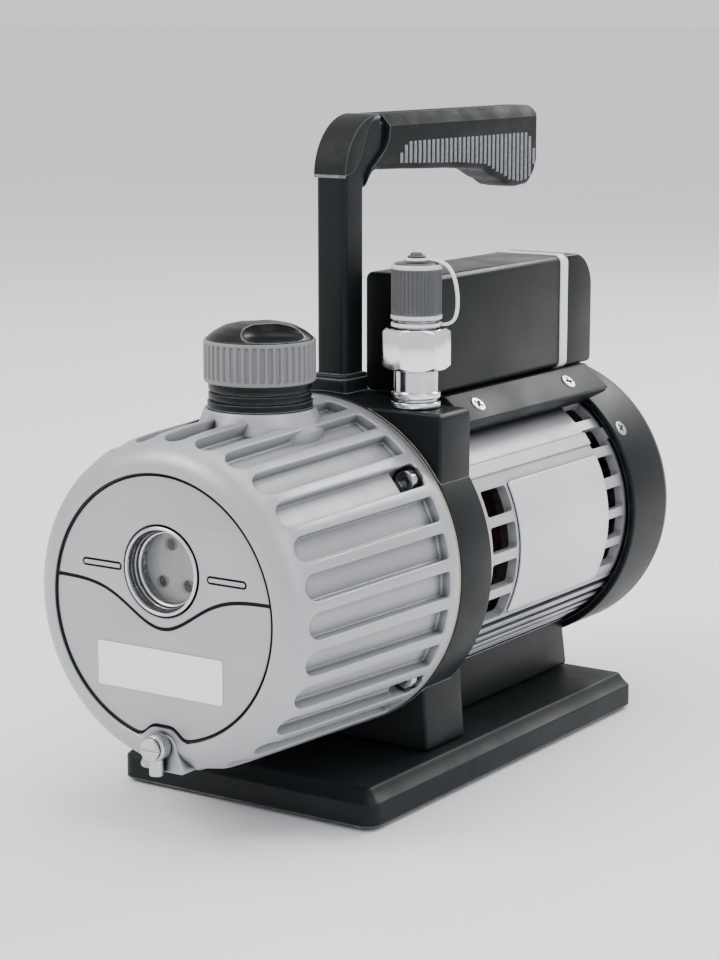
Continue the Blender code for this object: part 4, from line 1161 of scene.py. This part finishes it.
MOTOR_R = 57.5
RIB = (51.0, 57.0, 58.5)
FIN_FROM = 118.0
FIN_PITCH = 6.0
FINS = 8
FIN_VALLEY_R = 55.2
VENTS_FRONT = (68, 83, 98, 113)
VENTS_REAR = (41, 54.5, 68, 82, 95, 108)
PLATE_FROM = 62.0
PLATE_TO = 117.0
COVER_R = 62.0
COVER_SCREWS = (55, 175, 295)


def housing_outline():
    """Half of the extruded housing's section, mirrored: a rib, a plain side and low fins."""
    half = [(angle, MOTOR_R) for angle in range(0, int(RIB[0]), 3)]
    half += [(RIB[0], MOTOR_R), (RIB[0] + 0.2, RIB[2] - 0.3), (RIB[0] + 0.6, RIB[2]),
             (RIB[1] - 0.6, RIB[2]), (RIB[1] - 0.2, RIB[2] - 0.3), (RIB[1], MOTOR_R)]
    half += [(angle, MOTOR_R) for angle in range(int(RIB[1]) + 3, int(FIN_FROM), 3)]
    for fin in range(FINS):
        start = FIN_FROM + fin * FIN_PITCH
        half += [(start, MOTOR_R - 0.35), (start + 0.4, MOTOR_R), (start + 2.4, MOTOR_R),
                 (start + 2.8, MOTOR_R - 0.35), (start + 3.3, FIN_VALLEY_R),
                 (start + 5.6, FIN_VALLEY_R)]
    fin_end = int(FIN_FROM + FINS * FIN_PITCH)
    half += [(angle, MOTOR_R) for angle in range(fin_end, 181, 2)]
    other = [(-angle, radius) for angle, radius in reversed(half[1:-1])]
    return [clock(radius, angle) for angle, radius in half + other]


def make_motor():
    """Housing with its vents, nameplate wrapped round it, and fan cover with its screws."""
    bore = circle(0.0, AXIS_Z, 53.5, 144)
    housing = prism("motor_shell", housing_outline(), "Y", MOTOR_FRONT, MOTOR_REAR, 0.0, [bore])
    low, high = AXIS_Z + 50.0, AXIS_Z + 61.0

    def vent(half, front, rear):
        return prism("vent", rounded_box(-half, front, half, rear, 1.2, 4), "Z", low, high)

    fronts = list(VENTS_FRONT) + [-a for a in VENTS_FRONT]
    rears = list(VENTS_REAR) + [-a for a in VENTS_REAR]
    cut(housing, around(vent(5.4, -14.0, 5.0), fronts), around(vent(4.6, 81.5, 96.5), rears))
    place(housing, "silver_housing", ["motor_housing"])

    # The plate is laid flat, then wrapped round the housing
    radius = MOTOR_R + 0.3
    length = math.radians(PLATE_TO - PLATE_FROM) * radius
    columns = 60
    outline = rounded_box(7.0, 0.0, 81.0, length, 1.6, 5)
    sheet = prism("name_plate", outline, "Z", 0.0, 0.6, 0.12, (), 2)
    bm = bmesh.new()
    bm.from_mesh(sheet.data)
    for i in range(1, columns):
        geometry = bm.verts[:] + bm.edges[:] + bm.faces[:]
        bmesh.ops.bisect_plane(bm, geom=geometry, plane_co=(0.0, length * i / columns, 0.0),
                               plane_no=(0.0, 1.0, 0.0))
    for vert in bm.verts:
        y, run, height = vert.co
        x, z = clock(radius + height, PLATE_FROM + math.degrees(run / radius))
        vert.co = (x, y, z)
    bm.to_mesh(sheet.data)
    bm.free()
    place(sheet, "blank_plate", ["nameplate"])

    band = rounded([(58.9, COVER_FRONT, 0.3), (COVER_R, COVER_FRONT, 1.0), (COVER_R, 127.5, 4.0),
                    (60.3, 132.4, 3.0), (56.0, COVER_REAR, 3.0), (20.0, COVER_REAR),
                    (20.0, COVER_REAR - 3.0), (56.0, COVER_REAR - 3.0),
                    (58.9, 128.0, 1.0)], 5)
    cover = lathe("fan_shroud", band, "Y", SHAFT, 144)
    hub = lathe("fan_shroud_hub", rounded([(0, COVER_REAR), (21.0, COVER_REAR, 0.4),
                                           (21.0, COVER_REAR - 3.0), (0, COVER_REAR - 3.0)], 3,
                                          closed=False), "Y", SHAFT, 96)
    slit = prism("slit", rounded_box(-2.3, AXIS_Z + 17.0, 2.3, AXIS_Z + 50.0, 2.2, 5), "Y",
                 COVER_REAR - 5.0, COVER_REAR + 2.0)
    join(cover, hub)
    cut(cover, around(slit, range(0, 360, 15)))
    place(cover, "black_casting", ["fan_cover"])
    for number, degrees in enumerate(COVER_SCREWS, 1):
        x, z = clock(COVER_R + 0.4, degrees)
        out = Vector((math.sin(math.radians(degrees)), 0.0, math.cos(math.radians(degrees))))
        screw(f"shroud_screw_{number}", (x, 105.0, z), out, 3.4, "cross", (), 25.0)


def make_brackets():
    """The motor's foot on the base, and the saddle plate that carries the electrical box."""
    outline = rounded([(-30.0, BASE_TOP + 0.3, 1.5), (30.0, BASE_TOP + 0.3, 1.5),
                       (25.6, 50.0, 1.5), (-25.6, 50.0, 1.5)], 3)
    foot = prism("motor_foot_casting", outline, "Y", -21.5, 97.5, 1.0)
    cut(foot, rod("foot_saddle", 58.0, 110.0, -30.0, "Y", SHAFT, 144))
    place(foot, "black_casting", ["motor_foot"])
    under = [clock(MOTOR_R + 0.9, angle) for angle in range(-22, 38)]
    over = rounded([(46.5, 140.4), (48.3, 142.6, 0.8), (37.0, BOX_LOW - 0.3, 1.5),
                    (-11.0, BOX_LOW - 0.3, 1.5), (-22.5, 143.5)], 4, closed=False)
    saddle = prism("box_saddle_plate", under + over, "Y", -18.0, 97.5, 0.5, (), 2)
    place(saddle, "black_casting", ["box_saddle"])
    slope = Vector((BOX_LOW - 0.3 - 142.6, 0.0, 48.3 - 37.0)).normalized()
    middle_of = Vector((42.7, 0.0, 147.35)) + slope * 0.5
    for number, y in enumerate((-2.0, 72.0), 1):
        screw(f"saddle_screw_{number}", middle_of + Vector((0.0, y, 0.0)), slope, 3.6, "cross", (),
              40.0 * number)


# ---------------------------------------------------------------- electrical box

def box_section(inset, radius=3.2):
    return rounded_box(BOX_LEFT + inset, BOX_LOW + inset, BOX_RIGHT - inset, BOX_TOP - inset,
                       max(radius - inset * 0.8, 0.8), 6)


def make_box():
    """Electrical box with its seam, rear cover, switch and mains inlet."""
    wall = 2.5
    body = prism("box_shell", box_section(0.0), "Y", BOX_FRONT, BOX_SEAM, 1.0)
    cut(body, prism("box_hollow", box_section(wall), "Y", BOX_FRONT + wall, BOX_SEAM + 1.0))
    place(body, "black_plastic", ["box_body"])
    layer_between = prism("box_seal", box_section(-0.5), "Y", BOX_SEAM - 1.6, BOX_SEAM + 4.6, 0.3,
                 [box_section(0.4)], 2)
    place(layer_between, "white_plastic", ["box_gasket"])

    front = BOX_SEAM + 3.0
    side = rounded([(front, BOX_LOW), (BOX_REAR, BOX_LOW, 2.4), (BOX_REAR, BOX_TOP, 15.0),
                    (front, BOX_TOP)], 16)
    cover = prism("box_cover", side, "X", BOX_LEFT, BOX_RIGHT, 1.4)
    hollow = rounded([(front - 1, BOX_LOW + wall), (BOX_REAR - wall, BOX_LOW + wall, 1.0),
                      (BOX_REAR - wall, BOX_TOP - wall, 12.5), (front - 1, BOX_TOP - wall)], 12)
    socket = prism("socket_opening", rounded_box(6.2, 157.0, 31.8, 175.2, 1.0), "Y", 95.0, 110.0)
    switch = prism("switch_opening", rounded_box(12.0, 179.2, 26.0, 188.2, 0.8), "Y", 95.0, 110.0)
    inside = prism("cover_hollow", hollow, "X", BOX_LEFT + wall, BOX_RIGHT - wall)
    cut(cover, inside, socket, switch)
    place(cover, "black_plastic", ["box_rear_cover"])

    bezel = prism("switch_frame", rounded_box(10.6, 177.8, 27.4, 189.6, 1.6), "Y", BOX_REAR - 0.2,
                  BOX_REAR + 0.9, 0.35, [rounded_box(12.2, 179.4, 25.8, 188.0, 0.8)], 2)
    place(bezel, "black_plastic")
    z_axis = 183.7
    outline = rounded([(102.2, z_axis - 3.2), (104.9, z_axis - 3.2, 0.8),
                       (104.2, z_axis - 0.5, 3.0), (105.7, z_axis + 3.3, 0.8),
                       (102.2, z_axis + 2.9), (98.5, z_axis + 3.2), (98.8, z_axis - 2.4)], 5)
    rocker = prism("switch_rocker", outline, "X", edge("power_rocker", 0, 0),
                   edge("power_rocker", 0, 1), 0.25, (), 2)
    place(rocker, "rubber", ["power_rocker"], "rocker")

    face = rounded_box(4.0, 155.0, 34.0, 177.0, 2.0)
    opening = rounded([(8.3, 159.2, 1.0), (29.7, 159.2, 1.0), (29.7, 169.4, 0.6),
                       (26.4, 173.0, 0.6), (11.6, 173.0, 0.6), (8.3, 169.4, 0.6)], 5)
    flange = prism("inlet_flange", face, "Y", BOX_REAR + 0.3, BOX_REAR + 2.4, 0.5, [opening], 2)
    shell_outline = rounded_box(6.5, 157.3, 31.5, 174.9, 1.2)
    shell = prism("inlet_shell", shell_outline, "Y", 86.0, BOX_REAR + 0.8)
    cut(shell, prism("inlet_recess", opening, "Y", 88.5, 110.0))
    pins = [slab(f"pin_{x}", (x - 1.0, 87.5, 164.1), (x + 1.0, 99.5, 168.1), 0.3)
            for x in (12, 19, 26)]
    join(flange, shell)
    place(flange, "black_plastic", ["mains_inlet"])
    merge(*pins)
    pins[0].name = "inlet_pins"
    place(pins[0], "steel")


# ---------------------------------------------------------------- handle

def grip_underside(y):
    """Height of the finger lobe's lower side, along the grip."""
    rise = [(GRIP_FRONT, 240.0), (33.0, 238.2), (58.0, 236.4), (72.0, 231.6), (80.0, 228.4),
            (87.0, 227.5), (96.0, 228.2), (101.0, 231.8), (GRIP_REAR, 238.0)]
    for (y0, z0), (y1, z1) in zip(rise, rise[1:]):
        if y <= y1:
            t = (y - y0) / (y1 - y0)
            t = t * t * (3 - 2 * t) * 0.5 + t * 0.5
            return z0 + (z1 - z0) * t
    return rise[-1][1]


def make_handle():
    """Post with its foot block, cover over the elbow, and grip sleeve with its ribs."""
    grip_join = GRIP_FRONT - 0.3
    top = HANDLE_TOP - 0.4
    post = rounded([(POST_FRONT, 159.0), (POST_REAR, 159.0), (POST_REAR, 241.0, 9.0),
                    (grip_join, 241.0), (grip_join, top), (POST_FRONT, top, 24.0)], 20)
    body = prism("handle_post", post, "X", -POST_X, POST_X, 2.6, (), 5)
    arm = slab("arm", (-5.0, GRIP_FRONT - 4, 246.0), (5.0, 98.0, 257.0), 0.8)
    neck = slab("neck", (-6.3, GRIP_FRONT - 5.0, 241.7), (6.3, GRIP_FRONT + 9.0, 258.8), 1.0)
    ridge = slab("ridge", (-4.3, GRIP_FRONT - 5.0, 250.0), (4.3, GRIP_FRONT + 9.0, 261.2), 0.8)
    shoe = prism("shoe", rounded_box(-9.0, -47.0, 9.0, -29.5, 2.2, 6), "Z", 153.3, 159.6, 0.8)
    collar = prism("collar", rounded_box(-8.6, -46.4, 8.6, -29.2, 2.6, 6), "Z", 159.2, 161.2, 0.7)
    join(body, arm, neck, ridge, shoe, collar)
    cut(body, rod("seat", 66.8, -28.0, -50.0, "Y", SHAFT, 144))
    place(body, "black_casting", ["handle_frame"])

    # The moulded cover over the elbow ends along an S shaped line
    front = POST_FRONT - 0.3
    line_end = GRIP_FRONT - 4.5
    bend = [Vector(p) for p in ((front, 239.0), (front + 15.0, 239.5), (-34.0, 257.0),
                                (line_end, HANDLE_TOP))]
    line = []
    for i in range(25):
        t = i / 24
        weights = ((1 - t) ** 3, 3 * t * (1 - t) ** 2, 3 * t * t * (1 - t), t ** 3)
        pulls = [point * weight for point, weight in zip(bend, weights)]
        line.append(sum(pulls, Vector((0, 0)))[:])
    corner = rounded([(front, 239.0), (front, HANDLE_TOP, 24.2), (line_end, HANDLE_TOP)], 24,
                     closed=False)
    elbow = prism("elbow_cover", corner + line[-2:0:-1], "X", -POST_X - 0.5, POST_X + 0.5)
    soften(elbow, 0.9, 3)
    place(elbow, "soft_black")

    count = 60
    under = [GRIP_FRONT + (GRIP_REAR - GRIP_FRONT) * i / count for i in range(count)]
    outline = [(-42.0, 226.0), (-29.7, 226.0)] + arc(-20.2, 231.0, 9.3, 180, 90, 10)
    outline += [(y, grip_underside(y)) for y in under]
    outline += rounded([(GRIP_REAR, 238.0), (GRIP_REAR, HANDLE_TOP, 5.0), (-42.0, HANDLE_TOP)], 8,
                       closed=False)
    grip = prism("grip_sleeve", outline, "X", -GRIP_X + 0.4, GRIP_X - 0.4, 3.2, (), 5)
    # The sleeve's front end curves down round the inside of the elbow
    front_end = [(-17.5, 264.0), (-15.2, 260.5), (-14.2, 256.5), (-14.9, 252.0), (-17.6, 248.0),
                 (-22.5, 244.3), (-26.8, 241.2), (-28.8, 238.2), (-29.1, 235.0), (-29.1, 220.0),
                 (-60.0, 220.0), (-60.0, 270.0), (-17.5, 270.0)]
    tools = [prism("front_end", front_end, "X", -20.0, 20.0)]
    for side in (-1, 1):
        bevel = [(side * 4.6, HANDLE_TOP + 0.3), (side * 10.6, 254.6), (side * 12.0, 264.0)]
        tools.append(prism("top_bevel", bevel, "Y", -50.0, 120.0))
    tools.append(slab("grip_hollow", (-5.3, GRIP_FRONT - 2, 245.7), (5.3, 98.4, 257.3), 0.0))
    cut(grip, *tools)
    soften(grip, 0.25, 2, 25)
    place(grip, "soft_black", ["handle_grip"])

    # Upright ribs on both sides of the grip, shorter towards its two ends
    ribs = []
    pitch = 3.4
    half = 1.05
    first, last = GRIP_FRONT + 7.5, GRIP_REAR - 4.5
    total = int((last - first) / pitch)
    for i in range(total + 1):
        y = first + pitch * i
        near_front = max(0.0, 1.0 - (y - first) / 11.0)
        near_rear = max(0.0, 1.0 - (last - y) / 7.0)
        top = 250.6 - 9.0 * near_front ** 2 - 7.5 * near_rear ** 2
        low = grip_underside(y) + 2.4 + 3.5 * near_rear ** 2
        if top - low > 3.0:
            reach = GRIP_X - 0.1
            ribs.append(slab(f"rib_{i}", (-reach, y - half, low), (reach, y + half, top), 0.45, 2))
    merge(*ribs)
    ribs[0].name = "grip_ribs"
    place(ribs[0], "grip_ribs")


# ---------------------------------------------------------------- frame nodes that stay

def dress_frame():
    """Give each CAD node that stays visible the material of its slot in the record."""
    slots = {part["node"]: part["material_slot"] for part in frame["record"]["subparts"]}
    for name, obj in frame["nodes"].items():
        material = MATERIALS[slots[name]]
        obj.data.materials.clear()
        obj.data.materials.append(material)


# ---------------------------------------------------------------- studio

CAMERA_AT = (0.5418, -0.8190, 0.2995)
CAMERA_DOWN = 10.7
CAMERA_TURN = 33.8
CAMERA_LENS = 92.0
FLOOR_SIZE = 60.0
SKY = (0.93, 0.94, 0.97, 1.0)
SKY_STRENGTH = 1.05
LIGHT_AIM = (0.0, 0.0, 0.10)
# Name, place, size, power and colour of each light
LIGHTS = (
    ("key_light", (-0.9, -1.3, 1.5), (0.9, 0.9), 27.0, (1.0, 0.985, 0.96)),
    ("fill_light", (1.6, -0.5, 0.9), (0.8, 1.2), 8.0, (0.95, 0.97, 1.0)),
    ("rim_light", (0.3, 1.5, 1.2), (1.2, 0.5), 22.0, (1.0, 1.0, 1.0)),
    ("top_light", (0.1, 0.0, 1.7), (0.9, 1.4), 10.0, (1.0, 1.0, 1.0)),
)


def area_light(name, at, size, energy, colour):
    data = bpy.data.lights.new(name, "AREA")
    data.shape = "RECTANGLE"
    data.size, data.size_y = size
    data.energy = energy
    data.color = colour
    light = bpy.data.objects.new(name, data)
    light.location = at
    toward = Vector(LIGHT_AIM) - Vector(at)
    light.rotation_euler = toward.to_track_quat("-Z", "Y").to_euler()
    bpy.context.scene.collection.objects.link(light)


def make_studio():
    """Camera at the drawing's viewing angle, pale floor, even sky and soft lights."""
    data = bpy.data.cameras.new("camera")
    data.sensor_fit = "VERTICAL"
    data.sensor_height = 36.0
    data.lens = CAMERA_LENS
    data.clip_end = 200.0
    camera = bpy.data.objects.new("camera", data)
    camera.location = CAMERA_AT
    camera.rotation_euler = (math.radians(90.0 - CAMERA_DOWN), 0.0, math.radians(CAMERA_TURN))
    bpy.context.scene.collection.objects.link(camera)
    bpy.context.scene.camera = camera

    bm = bmesh.new()
    bmesh.ops.create_grid(bm, x_segments=4, y_segments=4, size=FLOOR_SIZE)
    mesh = bpy.data.meshes.new("floor")
    bm.to_mesh(mesh)
    bm.free()
    floor = bpy.data.objects.new("floor", mesh)
    bpy.context.scene.collection.objects.link(floor)
    look = Surface("pale_floor", (0.92, 0.92, 0.935), 0.6)
    look.tint(look.noise(3.0), (0.90, 0.90, 0.915), 0.4, 0.7, 0.5)
    floor.data.materials.append(look.done())

    world = bpy.data.worlds.new("studio")
    world.use_nodes = True
    back = world.node_tree.nodes["Background"]
    back.inputs["Color"].default_value = SKY
    back.inputs["Strength"].default_value = SKY_STRENGTH
    bpy.context.scene.world = world
    for light in LIGHTS:
        area_light(*light)


dress_frame()
make_base()
make_frame()
make_oil_case()
make_face()
make_sight_glass()
make_drain()
make_filler()
make_inlet()
make_inlet_cap()
make_motor()
make_brackets()
make_box()
make_handle()
make_studio()
